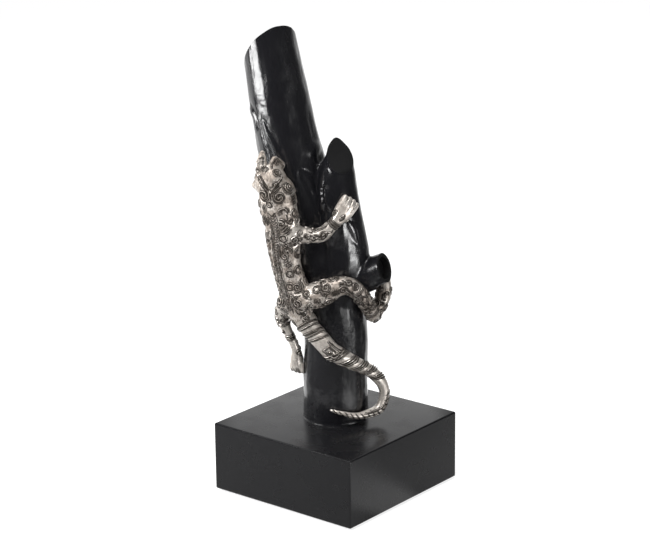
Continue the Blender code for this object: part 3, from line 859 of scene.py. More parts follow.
def makeBranch():
    work = bmesh.new()
    for path in limbPaths.values():
        addTube(work, path)
    lumps = Lumps()
    for height, degrees, depth, radius in swellings:
        lumps.add(onLimb(limbPaths["main"], height, degrees, -depth), (radius * mm,) * 3)
    work.from_mesh(lumps.mesh("swellings"))
    bmesh.ops.remove_doubles(work, verts=work.verts, dist=branchSettings["merge"])
    mesh = meshFrom(work, "branch_limbs")
    branch = fuse("branch_limbs", mesh, branchSettings["voxel"], branchSettings["easing"])
    runTree(branch, barkTree, material=bark, **branchSettings["dents"])
    lines = linesObject("bark_ridges", ridgeLines())
    runTree(branch, lineTree, lines=lines, material=bark, **branchSettings["ridges"])
    dropHelper(lines)
    work = bmesh.new()
    work.from_mesh(branch.data)
    for name, (point, normal, reach) in sawnFaces.items():
        keepFaces(work, beyondCut(work, Vector(point) * mm, normal, reach * mm), False)
        cap = closeRim(work, 1)  # slot 1 is the sawn finish
        if name == "stub":
            hollowStub(work, cap, normal)
    x, y = branchSettings["foot"]
    below = beyondCut(work, (0, y, branchSettings["footCut"]), (0, 0, -1), branchSettings["footReach"])
    keepFaces(work, below, False)
    closeRim(work)
    for vert in work.verts:
        low = 1 - vert.co.z / branchSettings["beadHeight"]
        if low > 0:
            out = Vector((vert.co.x - x, vert.co.y - y, 0)).normalized()
            vert.co += out * branchSettings["beadWidth"] * low**2
    bmesh.ops.recalc_face_normals(work, faces=work.faces)
    work.to_mesh(branch.data)
    work.free()
    return branch


# The sawn stub is hollow: its face keeps a rim, and the rest is pushed in
def hollowStub(work, cap, normal):
    made = bmesh.ops.inset_region(work, faces=cap, thickness=branchSettings["stubRim"])["faces"]
    inner = [face for face in cap if face.is_valid]
    pushed = bmesh.ops.extrude_face_region(work, geom=inner)["geom"]
    verts = [item for item in pushed if isinstance(item, bmesh.types.BMVert)]
    bmesh.ops.translate(work, verts=verts, vec=-Vector(normal).normalized() * branchSettings["stubRecess"])
    bmesh.ops.delete(work, geom=[face for face in inner if face.is_valid], context="FACES_ONLY")
    for face in made:
        face.material_index = 1


branch = makeBranch()
branchFaces = meshFaces(branch.data)
print("stage: branch made,", len(branch.data.polygons), "faces")


# Cat

catSettings = {
    "voxel": 0.62 * mm,
    "easing": 11,
    "clearOfBark": 0.25 * mm,
    "rayReach": 2.2,  # a ray's reach from a heart line to the skin, in radii
    "raised": {"height": 0.72 * mm, "halfWidth": 0.62 * mm, "beside": 0.2 * mm, "record": "lineGap"},
    "cut": {"height": -0.75 * mm, "halfWidth": 0.55 * mm, "beside": 0.0, "record": "cutGap"},
    "motifSizes": ((4.6, 1600), (3.8, 2400), (3.0, 3600), (2.3, 3600), (1.7, 1000)),  # size in mm, and tries
    "motifShare": 0.62,  # the largest size, as a share of the way to the heart line
    "smallestOnBody": 2,
    "motifOffBark": 0.8,
    "motifOffOrnament": 0.5,  # in sizes
    "motifGap": -0.1,
    "hollowReach": 14,
    "mostTriangles": 196000,
    "seed": 11,
}

# Heart lines of the castings: x, y, height, half width and half depth, in mm. Depth is off the bark.
spineLine = (
    (-25.6, -14.8, 86, 9.2, 7.6),
    (-26.6, -16.6, 93, 11, 8.4),
    (-28.8, -17.4, 103, 13, 9),
    (-31.6, -16.6, 112.6, 13.2, 8.8),
    (-34.4, -16.3, 123, 12.6, 8.6),
    (-36.2, -17.8, 134, 12.8, 9),
    (-36.8, -20, 146, 13.6, 10),
    (-37.2, -21.5, 156, 13.2, 10.6),
    (-39.2, -22.2, 166, 14, 11),
    (-40.6, -22.6, 175, 14.2, 11.6),
    (-40.3, -22.5, 182, 12.8, 12),
)
forelegRight = (
    (-28.5, -23.2, 150, 7, 6.6),
    (-22.5, -24, 149.6, 6.1, 6),
    (-16, -24, 149.2, 5.3, 5.6),
    (-10, -24.2, 149.3, 5.2, 5.5),
    (-5.5, -24.8, 152.6, 5, 4.8),
    (-1.5, -26, 157, 4.4, 4.4),
    (2.5, -26.4, 161.5, 4.6, 4.3),
    (6.2, -26.2, 166.5, 7, 4.6),
    (9.8, -25, 171.3, 7.7, 4.3),
)
forelegLeft = (
    (-43, -13.5, 150, 5.6, 5.4),
    (-44.8, -7.8, 151.5, 5.2, 4.8),
    (-46.2, -1, 154, 5, 4.4),
    (-47.2, 8, 157.5, 4.6, 4.2),
    (-46.9, 17.4, 162, 4.4, 4.1),
    (-43.8, 25.7, 167.5, 4.5, 4),
    (-39, 31.6, 173, 6, 3.8),
    (-35.2, 34.6, 177.5, 6.4, 3.7),
)
hindlegRight = (
    (-19.5, -21.5, 102, 9.2, 8.2),
    (-14, -24, 103.8, 9.8, 8.2),
    (-7, -26.5, 107.2, 9.2, 7.8),
    (1, -28, 111.3, 7.4, 7),
    (8, -27.6, 112, 6.7, 6.5),
    (12.2, -25.8, 110.5, 6.2, 6),
    (16.3, -22.8, 106, 6.1, 5.8),
    (21.6, -18.5, 97.8, 6.2, 5.8),
    (26, -12, 89.4, 6.0, 5.6),
    (28.6, -5.5, 82.2, 5.4, 5.2),
    (32.6, -2, 87.2, 5.6, 5.2),
    (35.8, -0.2, 94.2, 6.2, 5.4),
    (36.4, 2, 101.5, 6.6, 5.4),
    (35.2, 3.4, 108.5, 6.6, 5),
)
hindlegLeft = (
    (-35.5, -8.5, 92, 7.4, 6.8),
    (-37.8, -3, 84.6, 7, 6.6),
    (-38.3, 0.5, 78, 5.4, 5.4),
    (-36.6, 2, 71.5, 4.2, 4.2),
    (-33.6, 3, 64.5, 3.6, 3.6),
    (-30.8, 3.5, 58, 3.5, 3.5),
    (-28.9, 3.8, 51.5, 3.9, 3.7),
    (-28.6, 3.9, 45, 5.6, 5.2),
    (-28.3, 3.9, 41, 6, 5),
)
tailLine = (
    (-21.6, -16.6, 80.4, 8.1, 7),
    (-18.4, -18.8, 77.2, 7.8, 6.8),
    (-14, -21, 73, 7.5, 6.5),
    (-8.5, -23.3, 67, 7.1, 6.3),
    (-3.1, -24.6, 61.1, 6.8, 6),
    (2, -24.8, 58, 6.5, 5.7),
    (7.9, -23.7, 54.4, 6, 5.4),
    (13.8, -21, 50.3, 5.5, 5.1),
    (19, -17.6, 46.7, 5, 4.9),
    (24.6, -13.5, 42.3, 4.9, 4.7),
    (30.2, -10.2, 36.5, 4.8, 4.7),
    (34, -8.2, 31, 4.4, 4.4),
    (36.2, -7, 25.3, 4.1, 4.1),
    (36.6, -6.8, 20.4, 3.9, 3.9),
    (35.5, -7.5, 15.4, 3.8, 3.8),
    (33, -9.2, 11, 3.7, 3.7),
    (29.1, -12, 9, 3.5, 3.5),
    (23.6, -16, 8.5, 3.2, 3.2),
    (18.1, -19.2, 8.1, 2.8, 2.8),
    (12.1, -21.6, 9.1, 2.4, 2.4),
    (6.8, -22.8, 11, 1.9, 1.9),
    (1.7, -23.2, 12.3, 1.6, 1.6),
    (-3.5, -22.6, 13.8, 1.2, 1.2),
)
# Four toes on each paw, in mm; the paws lie flat on the bark, apart from the left hind paw, which is turned
toeSettings = {
    "turn": {"hindlegLeft": -45},
    "places": (-1.5, -0.5, 0.5, 1.5),
    "pitch": 3.8,
    "reach": 2.6,
    "stagger": 0.6,
    "sink": 0.3,
    "radii": (1.95, 4.2, 2.8),
    "tipReach": 2.3,
    "tipRadii": (1.85, 2.5, 2.6),
}
# The head: the way it looks, then the skull's middle and radii
headLooks = (-0.62, 0.78, 0)
skull = ((-45, -21.5, 189), (11.4, 12.6, 13))
# Lumps of the head off the skull's middle: right, forward, up, then the three radii
headLumps = (
    (0, 11, -4, 6.2, 7, 5.6),
    (0, 10.5, 1.4, 4.6, 5.6, 4.4),
    (0, 14.6, -0.8, 3.0, 3.4, 2.6),
    (-3, 13.4, -4.4, 3.4, 3.8, 3.2),
    (3, 13.4, -4.4, 3.4, 3.8, 3.2),
    (0, 12.5, -8, 3.8, 4, 2.6),
    (-4.4, 7, -3.5, 4.2, 5, 4.6),
    (6.5, 7, -3.5, 4.6, 5, 4.6),
    (0, 9, 6, 6.5, 4.6, 4),
)
ears = (
    (-6.8, 2.4, 13.5, 4.9, 3.0, 5.5),
    (-6.2, 2.3, 17.4, 3.9, 2.5, 4.6),
    (-5.6, 2.2, 20.8, 2.5, 2.0, 3.2),
    (4.2, -1.2, 11.2, 8.0, 3.0, 4.4),
    (3.2, -1.4, 14.2, 5.6, 2.6, 3.6),
    (2.6, -1.5, 16.7, 3.0, 2.1, 2.5),
)
# Muscles that ease the limbs into the body: x, y, height and radius
muscles = (
    (-30.5, -25.5, 152, 8.2),
    (-24, -23, 101, 9.6),
    (-42.4, -14.5, 152, 6.8),
    (-34, -11.5, 96, 8.6),
    (-23.8, -17, 86, 8.6),
    (-20.6, -18, 81.5, 8.2),
)


# Right, forward and out at a point of a heart line; out points away from the nearest limb of the branch
def limbFrame(path, i):
    best = None
    for limb in limbPaths.values():
        away = path[i, :3] - limb[:, :3]
        gaps = np.linalg.norm(away, axis=1) - limb[:, 3]
        k = int(np.argmin(gaps))
        if best is None or gaps[k] < best[0]:
            best = (gaps[k], away[k])
    forward = Vector(path[min(i + 1, len(path) - 1), :3] - path[max(i - 1, 0), :3]).normalized()
    out = Vector(best[1])
    out = (out - forward * out.dot(forward)).normalized()
    return forward.cross(out), forward, out


# A heart line knows the run along it, in mm, and finds the skin at a bearing off the back
class HeartLine:
    def __init__(self, name, stations):
        self.name = name
        self.path = smoothPath(stations, 6)
        self.frames = [limbFrame(self.path, i) for i in range(len(self.path))]
        steps = np.linalg.norm(np.diff(self.path[:, :3], axis=0), axis=1)
        self.run = np.concatenate([[0], np.cumsum(steps)]) / mm
        self.length = float(self.run[-1])

    def at(self, run):
        place = Vector([np.interp(run, self.run, self.path[:, axis]) for axis in range(3)])
        i = int(np.clip(np.searchsorted(self.run, run), 0, len(self.path) - 1))
        return place, self.frames[i], float(np.interp(run, self.run, (self.path[:, 3] + self.path[:, 4]) / 2))

    def onSkin(self, skinFaces, run, degrees):
        place, (right, forward, out), radius = self.at(run)
        angle = math.radians(degrees)
        way = out * math.cos(angle) + right * math.sin(angle)
        return skinFaces.ray_cast(place, way, radius * catSettings["rayReach"])[0]


catLimbs = {
    "body": spineLine,
    "forelegRight": forelegRight,
    "forelegLeft": forelegLeft,
    "hindlegRight": hindlegRight,
    "hindlegLeft": hindlegLeft,
    "tail": tailLine,
}
heartLines = {name: HeartLine(name, stations) for name, stations in catLimbs.items()}
legs = [line for name, line in heartLines.items() if "leg" in name]
headForward = Vector(headLooks).normalized()
headAxes = (headForward.cross(Vector((0, 0, 1))), headForward, Vector((0, 0, 1)))
headMiddle = Vector(skull[0]) * mm


def headPlace(right, forward, up):
    return headMiddle + (headAxes[0] * right + headAxes[1] * forward + headAxes[2] * up) * mm


def pawFrame(line):
    right, forward, out = line.frames[-1]
    turned = Matrix.Rotation(math.radians(toeSettings["turn"].get(line.name, 0)), 3, forward)
    return turned @ right, forward, turned @ out


def addLimb(lumps, line):
    for (x, y, z, wide, deep), frameHere in zip(line.path, line.frames):
        lumps.add((x, y, z), (wide, (wide + deep) / 2, deep), frameHere)


def addToes(lumps, line):
    right, forward, out = pawFrame(line)
    radii, tipRadii = ([radius * mm for radius in toeSettings[key]] for key in ("radii", "tipRadii"))
    for k in toeSettings["places"]:
        reach = toeSettings["reach"] - toeSettings["stagger"] * abs(k)
        shift = forward * reach + right * k * toeSettings["pitch"] - out * toeSettings["sink"]
        centre = Vector(line.path[-1, :3]) + shift * mm
        lumps.add(centre, radii, (right, forward, out))
        lumps.add(centre + forward * toeSettings["tipReach"] * mm, tipRadii, (right, forward, out))


def makeSkin():
    lumps = Lumps()
    for line in heartLines.values():
        addLimb(lumps, line)
        if line in legs:
            addToes(lumps, line)
    lumps.add(headMiddle, [radius * mm for radius in skull[1]], headAxes)
    for right, forward, up, wide, along, tall in headLumps + ears:
        lumps.add(headPlace(right, forward, up), (wide * mm, along * mm, tall * mm), headAxes)
    for x, y, z, radius in muscles:
        lumps.add(Vector((x, y, z)) * mm, (radius * mm,) * 3)
    skin = fuse("cat_skin", lumps.mesh("cat_skin"), catSettings["voxel"], catSettings["easing"], 1)
    wrap = skin.modifiers.new("off the bark", "SHRINKWRAP")
    wrap.target = branch
    wrap.wrap_method = "NEAREST_SURFACEPOINT"
    wrap.wrap_mode = "OUTSIDE"
    wrap.offset = catSettings["clearOfBark"]
    return bake(skin)


skin = makeSkin()
skinFaces = meshFaces(skin.data)
print("stage: cat's skin made,", len(skin.data.polygons), "faces")


# Ornament of the cat: each motif is a list of lines in its own plane, with the heft of each line.
# The numbers are shares of the motif's size, and degrees.

def arc(radius, start, end, centre=(0, 0)):
    count = max(6, int(abs(end - start) / 14))
    angles = np.radians(np.linspace(start, end, count))
    return np.column_stack([centre[0] + radius * np.cos(angles), centre[1] + radius * np.sin(angles)])


def spiral(size, turns, inner=0.16):
    t = np.linspace(0, 1, int(turns * 22))
    radius = size * (1 - (1 - inner) * t**0.8)
    angle = t * turns * 2 * math.pi
    return np.column_stack([radius * np.cos(angle), radius * np.sin(angle)])


def dot(size, centre=(0, 0)):
    return np.array([(centre[0] - size * 0.2, centre[1]), (centre[0] + size * 0.2, centre[1])])


# Heft along a line that thins towards its start and end
def tapered(line, start=0.45, end=0.45):
    t = np.linspace(0, 1, len(line))
    fromStart = start + (1 - start) * (t * 4) ** 0.5
    toEnd = end + (1 - end) * ((1 - t) * 4) ** 0.5
    return np.clip(np.minimum(fromStart, toEnd), 0.3, 1)


def ringMotif(size, rng):
    if size < 1.4:
        return [(arc(size * 0.75, 0, 360), 0.8)]
    size = min(size, 2.8)
    lines = [(arc(size * 0.88, 0, 360), 1.0)]
    if rng.random() < 0.35:
        lines.append((arc(size * 0.3, 0, 360), 0.8))
    return lines


def crescentMotif(size, rng):
    size = min(size, 3.7)
    line = arc(size * 0.9, 50, 330)
    return [(line, tapered(line, 0.5, 0.7)), (dot(size * 0.6, (size * 0.1, 0)), 1.5)]


def scrollMotif(size, rng):
    coil = spiral(size * 0.74, 1.1 + size * 0.08, 0.16)
    stem = np.array([(1.15, -1.0), (0.92, -0.72), (0.78, -0.36)]) * size
    line = np.vstack([stem, coil])
    lines = [(line, tapered(line, 0.35, 0.9) * (0.8 + size * 0.08))]
    if size > 4.2:
        outer = arc(size * 1.08, -35, 150)
        lines.append((outer, tapered(outer, 0.3, 0.3) * 0.9))
    return lines


def stemmedScrollMotif(size, rng):
    turn = math.radians(60)
    turned = np.array(((math.cos(turn), math.sin(turn)), (-math.sin(turn), math.cos(turn))))
    coil = spiral(size * 0.74, 1.55, 0.2) @ turned
    stem = np.array([(2.5, -1.25), (2.05, -0.82), (1.5, -0.32), (0.98, 0.14), (0.62, 0.44)]) * size
    far = [(2.75, -0.95), (2.2, -0.42), (1.65, 0.08), (1.1, 0.5)]
    outer = np.array(far + [(0.55, 0.88), (-0.05, 1.08), (-0.6, 0.98)]) * size
    line = np.vstack([stem, coil])
    return [(line, tapered(line, 0.5, 1.0) * 1.35), (outer, tapered(outer, 0.4, 0.4))]


def doubleScrollMotif(size, rng):
    half = spiral(size * 0.48, 1.15, 0.22)
    joined = np.vstack([(half + (-size * 0.46, 0))[::-1], -half + (size * 0.46, 0)])
    return [(joined, tapered(joined, 0.8, 0.8))]


def hookMotif(size, rng):
    t = np.linspace(0, 1, 22)
    angle = 3.6 * t**1.4
    line = np.column_stack([np.cumsum(np.cos(angle)), np.cumsum(np.sin(angle))]) * size * 0.13
    line = line - (line.max(0) + line.min(0)) / 2
    beside = line * 0.9 + (size * 0.1, -size * 0.42)
    return [(line, tapered(line, 0.3, 0.8)), (beside, tapered(line, 0.3, 0.6) * 0.8)]


def leafMotif(size, rng):
    t = np.linspace(-1, 1, 18)
    upper = np.column_stack([t * size, 0.42 * size * (1 - t**2)])
    lower = np.column_stack([t * size, -0.42 * size * (1 - t**2)])
    lines = [(upper, 0.9), (lower, 0.9)]
    if size > 2:
        lines.append((np.column_stack([t * size * 0.5, t * 0]), 0.7))
    return lines


def dashMotif(size, rng):
    lines = []
    for k in (-1.5, -0.5, 0.5, 1.5):
        length = 20 - 3 * abs(k)
        line = arc(size * 2.6, -length, length, (-size * 2.6 + k * size * 0.42, 0))
        lines.append((line, tapered(line, 0.35, 0.35) * 0.85))
    return lines


# How often each kind is drawn
motifKinds = (
    (ringMotif, 4),
    (crescentMotif, 4),
    (scrollMotif, 7),
    (doubleScrollMotif, 4),
    (hookMotif, 3),
    (leafMotif, 2),
    (dashMotif, 4),
)


def layOnSkin(centre, normal, along, lines):
    along = (along - normal * along.dot(normal)).normalized()
    across = normal.cross(along)
    made = []
    for line, heft in lines:
        points = [skinFaces.find_nearest(centre + (along * a + across * b) * mm)[0] for a, b in line]
        made.append((points, heft))
    return made


# A line round a limb, from one bearing to another; slope is its advance in mm per quarter turn
def band(line, run, start=-180, end=180, slope=0.0, heft=0.9):
    count = max(8, int(abs(end - start) / 7))
    points = []
    for k in range(count + 1):
        degrees = start + (end - start) * k / count
        point = line.onSkin(skinFaces, run + slope * (degrees - start) / 90, degrees)
        if point is not None:
            points.append(point)
        elif len(points) > 3:
            break
        else:
            points = []
    return [(points, tapered(points, 0.5, 0.5) * heft)] if len(points) > 3 else []


# A line along a limb, which swings to both sides of its bearing
def lengthwise(line, start, end, degrees, heft, wave, waves=5):
    points = []
    for run in np.arange(start, end, 0.5):
        swing = wave * math.sin((run - start) / (end - start) * waves * 2 * math.pi)
        point = line.onSkin(skinFaces, run, degrees + swing)
        if point is not None:
            points.append(point)
    return [(points, tapered(points) * heft)] if len(points) > 3 else []


# Bands at the wrists, knees and hocks: the runs of each leg
bandPlaces = {
    "forelegRight": (31, 32.6, 34.2),
    "forelegLeft": (29, 30.6, 32.2, 41),
    "hindlegRight": (40, 41.6, 66, 67.6, 69.2),
    "hindlegLeft": (19, 20.6, 31, 32.6, 34.2),
}
# The tail: bands at its root, a key pattern, stripes in threes, then short ribs to the tip.
# Runs are in mm, "toTip" and "fromTip" count from the tip, and a span is two bearings.
tailSettings = {
    "root": {"runs": (5, 7.6, 12, 14.6, 19), "span": (-110, 110), "slope": -3.5, "heft": 1.0},
    "key": {"run": 27.5, "bearing": -14, "roomAt": 27},
    "stripes": {
        "from": 37,
        "toTip": 58,
        "step": 10.2,
        "runs": (0, 2.1, 4.2),
        "roomAt": 3,
        "span": (-110, 90),
        "slope": -5.0,
        "heft": 1.0,
    },
    "ribs": {"fromTip": 56, "toTip": 4, "step": 4.2, "span": (-60, 60), "slope": 3.0, "heft": 0.55},
}
# The stripe down the back: two long lines, with short slanted strokes between them
backSettings = {
    "from": 6,
    "toNeck": 12,
    "bearing": 17,
    "heft": 0.8,
    "wave": 1.5,
    "strokeFrom": 8.0,
    "strokeToNeck": 14,
    "strokeStep": 2.1,
    "strokeHeft": 0.5,
    "strokeBearings": (2, 11),
    "strokeAdvance": 2.2,
    "roomToNeck": 10,
    "roomStep": 2.5,
}
# Room that scattered motifs leave round the fixed ornament, in mm
clearances = {
    "band": 5.2,
    "tailRoot": 9,
    "key": 11,
    "stripe": 8,
    "rib": 5,
    "back": 4.6,
    "paw": 8.5,
    "wave": 1.4,
    "waveStep": 2.5,
}
# The same round the face, the cheeks and the ears: right, forward and up off the skull's middle, and room
headRoom = ((0, 12, 0, 15), (-9, -5, 3, 6.5), (9, -5, 3, 6.5), (-7, 2.5, 18, 6.5), (3, -1, 14, 7))


# A squared key pattern: corners are runs in mm and bearings in degrees, off its middle
def meander(line, middle, degrees):
    corners = ((-6, -40), (6, -40), (6, 36), (-3.4, 36), (-3.4, -14), (2.8, -14), (2.8, 14), (-0.4, 14))
    points = []
    for (a, b), (c, d) in zip(corners, corners[1:]):
        count = max(4, int(abs(c - a) * 3 + abs(d - b) / 4))
        for t in np.linspace(0, 1, count, endpoint=False):
            point = line.onSkin(skinFaces, middle + a + (c - a) * t, degrees + b + (d - b) * t)
            if point is not None:
                points.append(point)
    return [(points, 0.95)]


def toeGrooves(line):
    made = []
    right, forward, out = pawFrame(line)
    end = Vector(line.path[-1, :3])
    for k in (-1, 0, 1):
        points = []
        for t in np.linspace(-3.2, 5.6, 22):
            above = end + (forward * t + right * k * toeSettings["pitch"] + out * 12) * mm
            points.append(skinFaces.ray_cast(above, -out, 30 * mm)[0])
        points = [point for point in points if point is not None]
        if len(points) > 3:
            made.append((points, np.clip(np.linspace(0.35, 1.3, len(points)), 0.3, 1.15)))
    return made


def headStroke(places):
    line = smoothPath([(*place, 0) for place in places], 8)[:, :2] / mm
    points = []
    for yaw, pitch in line:
        turn, rise = math.radians(yaw), math.radians(pitch)
        level = headAxes[0] * math.sin(turn) * math.cos(rise) + headAxes[1] * math.cos(turn) * math.cos(rise)
        hit = skinFaces.ray_cast(headMiddle, level + headAxes[2] * math.sin(rise), 35 * mm)[0]
        if hit is not None:
            points.append(hit)
    return points


# Lines of the face: yaw to the right of the nose and pitch, in degrees
faceRaised = (
    ((22, 14), (30, 22), (40, 22), (48, 14), (38, 9), (28, 8), (22, 14)),
    ((-22, 14), (-30, 22), (-40, 22), (-48, 14), (-38, 9), (-28, 8), (-22, 14)),
    ((16, 26), (30, 34), (46, 34), (58, 26)),
    ((-16, 26), (-30, 34), (-46, 34), (-58, 26)),
)
faceCut = (
    ((-36, -28), (-22, -31), (-8, -30), (0, -27), (8, -30), (22, -31), (36, -28)),
    ((0, -14), (0, -20), (0, -27)),
    ((3, -8), (6, -10), (5, -13)),
    ((-3, -8), (-6, -10), (-5, -13)),
)


# Long wavy lines: heart line, start and end of the run, bearing, swing in degrees and waves
limbLines = (
    ("forelegRight", 10, 30, -48, 8, 1.5),
    ("forelegRight", 11, 30, 28, 16, 2.5),
    ("hindlegRight", 42, 64, -40, 14, 2.5),
    ("hindlegRight", 42, 64, 40, 14, 2.5),
    ("tail", 88, 118, -40, 6, 1),
    ("tail", 88, 118, 30, 6, 1),
)
# Larger motifs laid at listed places, those of the body on both sides:
# heart line, run, bearing off the back, size, turn and kind
placedMotifs = (
    ("body", 97, 30, 6.6, -4, stemmedScrollMotif),
    ("body", 78, 62, 3.6, 60, scrollMotif),
    ("body", 66, 66, 5.0, 160, scrollMotif),
    ("body", 67, 32, 3.3, 0, ringMotif),
    ("body", 57, 52, 3.7, 180, crescentMotif),
    ("body", 46, 50, 3.6, 30, dashMotif),
    ("body", 37, 54, 3.2, 0, ringMotif),
    ("body", 26, 38, 3.0, 0, ringMotif),
    ("body", 15, 48, 5.2, 10, scrollMotif),
    ("hindlegRight", 15, 44, 4.6, 200, scrollMotif),
    ("hindlegRight", 19, -28, 4.9, 150, scrollMotif),
    ("hindlegRight", 28, 8, 4.2, 20, scrollMotif),
    ("hindlegRight", 35, -30, 3.2, 0, ringMotif),
    ("forelegRight", 12, 0, 4.0, 0, doubleScrollMotif),
    ("forelegRight", 22, 8, 4.2, 180, scrollMotif),
)
# Lines on the backs of the ears: right of the head's middle, and up, in mm
earLines = (
    ((-2.4, 11.6), (0.2, 15.2), (2.6, 17.4), (5.4, 15.0), (8.8, 10.8)),
    ((1.5, 14.0), (2.6, 15.2), (3.7, 14.0), (2.6, 12.8), (1.5, 14.0)),
    ((-7.8, 11.4), (-7.0, 15.6), (-6.2, 20.0)),
)


def handLaid(rng, reserved):
    made = []
    for name, run, degrees, size, turn, kind in placedMotifs:
        line = heartLines[name]
        for side in (1, -1) if name == "body" else (1,):
            point = line.onSkin(skinFaces, run, degrees * side)
            if point is None:
                continue
            centre, normal = skinFaces.find_nearest(point)[:2]
            forward = line.at(run)[1][1]
            along = Matrix.Rotation(math.radians(turn * side), 3, normal) @ (forward + normal * 0.01)
            shapes = [(shape * (1, side), heft) for shape, heft in kind(size, rng)]
            made += layOnSkin(centre, normal, along, shapes)
            reserved.append((centre, size * (1.05 if kind is stemmedScrollMotif else 0.85)))
    for name, start, end, degrees, wave, waves in limbLines:
        line = heartLines[name]
        made += lengthwise(line, start, end, degrees, 0.95, wave, waves)
        for run in np.arange(start, end, clearances["waveStep"]):
            reserved.append((line.onSkin(skinFaces, run, degrees), clearances["wave"]))
    for places in earLines:
        rows = smoothPath([(right, up, 0, 0) for right, up in places], 6)[:, :2] / mm
        hits = [skinFaces.ray_cast(headPlace(right, -30, up), headForward, 50 * mm)[0] for right, up in rows]
        hits = [hit for hit in hits if hit is not None]
        if len(hits) > 3:
            made.append((hits, 0.75))
    return made


def legBands(reserved):
    made = []
    for name, runs in bandPlaces.items():
        for run in runs:
            made += band(heartLines[name], run)
            reserved.append((heartLines[name].at(run)[0], clearances["band"]))
    return made


def tailLines(reserved):
    made = []
    tail = heartLines["tail"]
    root, key, stripes, ribs = (tailSettings[part] for part in ("root", "key", "stripes", "ribs"))
    for run in root["runs"]:
        made += band(tail, run, *root["span"], root["slope"], root["heft"])
        reserved.append((tail.at(run)[0], clearances["tailRoot"]))
    made += meander(tail, key["run"], key["bearing"])
    reserved.append((tail.at(key["roomAt"])[0], clearances["key"]))
    run = stripes["from"]
    while run < tail.length - stripes["toTip"]:
        for shift in stripes["runs"]:
            made += band(tail, run + shift, *stripes["span"], stripes["slope"], stripes["heft"])
        reserved.append((tail.at(run + stripes["roomAt"])[0], clearances["stripe"]))
        run += stripes["step"]
    run = tail.length - ribs["fromTip"]
    while run < tail.length - ribs["toTip"]:
        made += band(tail, run, *ribs["span"], ribs["slope"], ribs["heft"])
        reserved.append((tail.at(run)[0], clearances["rib"]))
        run += ribs["step"]
    return made


def backLines(reserved):
    made = []
    body = heartLines["body"]
    near, far = backSettings["strokeBearings"]
    start, end = backSettings["from"], body.length - backSettings["toNeck"]
    for degrees in (-backSettings["bearing"], backSettings["bearing"]):
        made += lengthwise(body, start, end, degrees, backSettings["heft"], backSettings["wave"])
    run = backSettings["strokeFrom"]
    while run < body.length - backSettings["strokeToNeck"]:
        for side in (-1, 1):
            points = []
            for t in np.linspace(0, 1, 6):
                place = run + backSettings["strokeAdvance"] * t
                points.append(body.onSkin(skinFaces, place, side * (near + far * t)))
            points = [point for point in points if point is not None]
            if len(points) > 3:
                made.append((points, backSettings["strokeHeft"]))
        run += backSettings["strokeStep"]
    roomEnd = body.length - backSettings["roomToNeck"]
    for place in np.arange(backSettings["from"], roomEnd, backSettings["roomStep"]):
        reserved.append((body.onSkin(skinFaces, place, 0), clearances["back"]))
    return made


def raisedLines():
    rng = random.Random(catSettings["seed"])
    reserved = [(Vector(line.path[-1, :3]), clearances["paw"]) for line in legs]
    reserved += [(headPlace(*place), room) for *place, room in headRoom]
    made = handLaid(rng, reserved)
    made += legBands(reserved)
    made += tailLines(reserved)
    made += backLines(reserved)
    made += [(headStroke(line), 0.8) for line in faceRaised]
    made += scatteredMotifs(rng, [item for item in reserved if item[0] is not None])
    return made


# Motifs of each size are tried at random places, and kept where the bark and other ornament leave room
def scatteredMotifs(rng, reserved):
    mesh = skin.data
    made, taken = [], []
    count = len(mesh.vertices)
    kinds = [kind for kind, weight in motifKinds for _ in range(weight)]
    guides = []
    for name, line in heartLines.items():
        guides += [(name, i, Vector(line.path[i, :3])) for i in range(0, len(line.path), 2)]
    finder = KDTree(len(guides))
    for i, guide in enumerate(guides):
        finder.insert(guide[2], i)
    finder.balance()
    for size, tries in catSettings["motifSizes"]:
        for _ in range(tries):
            vert = mesh.vertices[rng.randrange(count)]
            centre, normal = vert.co.copy(), vert.normal.copy()
            _, guideIndex, away = finder.find(centre)
            name, i, _ = guides[guideIndex]
            if size * mm > away * catSettings["motifShare"]:
                continue
            if name == "body" and size < catSettings["smallestOnBody"]:
                continue
            if branchFaces.find_nearest(centre)[3] < (size + catSettings["motifOffBark"]) * mm:
                continue
            room = size * catSettings["motifOffOrnament"]
            if any((centre - place).length < (reach + room) * mm for place, reach in reserved):
                continue
            gap = catSettings["motifGap"]
            if any((centre - place).length < (size + other + gap) * mm for place, other in taken):
                continue
            taken.append((centre, size))
            angle = rng.uniform(0, 2 * math.pi)
            forward = heartLines[name].frames[i][1]
            along = Matrix.Rotation(angle, 3, normal) @ (forward + normal * 0.01)
            lines = rng.choice(kinds)(size, rng)
            if rng.random() < 0.5:
                lines = [(line * (1, -1), heft) for line, heft in lines]
            made += layOnSkin(centre, normal, along, lines)
    print("stage: motifs laid,", len(taken))
    return made


def cutLines():
    made = []
    for line in legs:
        made += toeGrooves(line)
    for line in faceCut:
        points = headStroke(line)
        if len(points) > 3:
            made.append((points, 0.8))
    return made


# Records how far each point lies under the skin's average round it, in mm: below 0 on a crest
def makeHollowTree():
    tree, given = newTree("hollows", (("Reach", "Int"), ("Material", "Material")))
    place = addNode(tree, "GeometryNodeInputPosition").outputs[0]
    rounds = {"Iterations": given["Reach"]}
    soft = addNode(tree, "GeometryNodeBlurAttribute", rounds, data_type="FLOAT_VECTOR")
    vectorIn = [socket for socket in soft.inputs if socket.type == "VECTOR"][0]
    tree.links.new(place, vectorIn)
    vectorOut = [socket for socket in soft.outputs if socket.type == "VECTOR"][0]
    apart = vectorMath(tree, "SUBTRACT", vectorOut, place)
    normal = addNode(tree, "GeometryNodeInputNormal").outputs["Normal"]
    depth = calculated(tree, "DIVIDE", vectorMath(tree, "DOT_PRODUCT", apart, normal), mm)
    endTree(tree, storedValue(tree, given["Geometry"], "hollow", depth), given["Material"])
    return tree


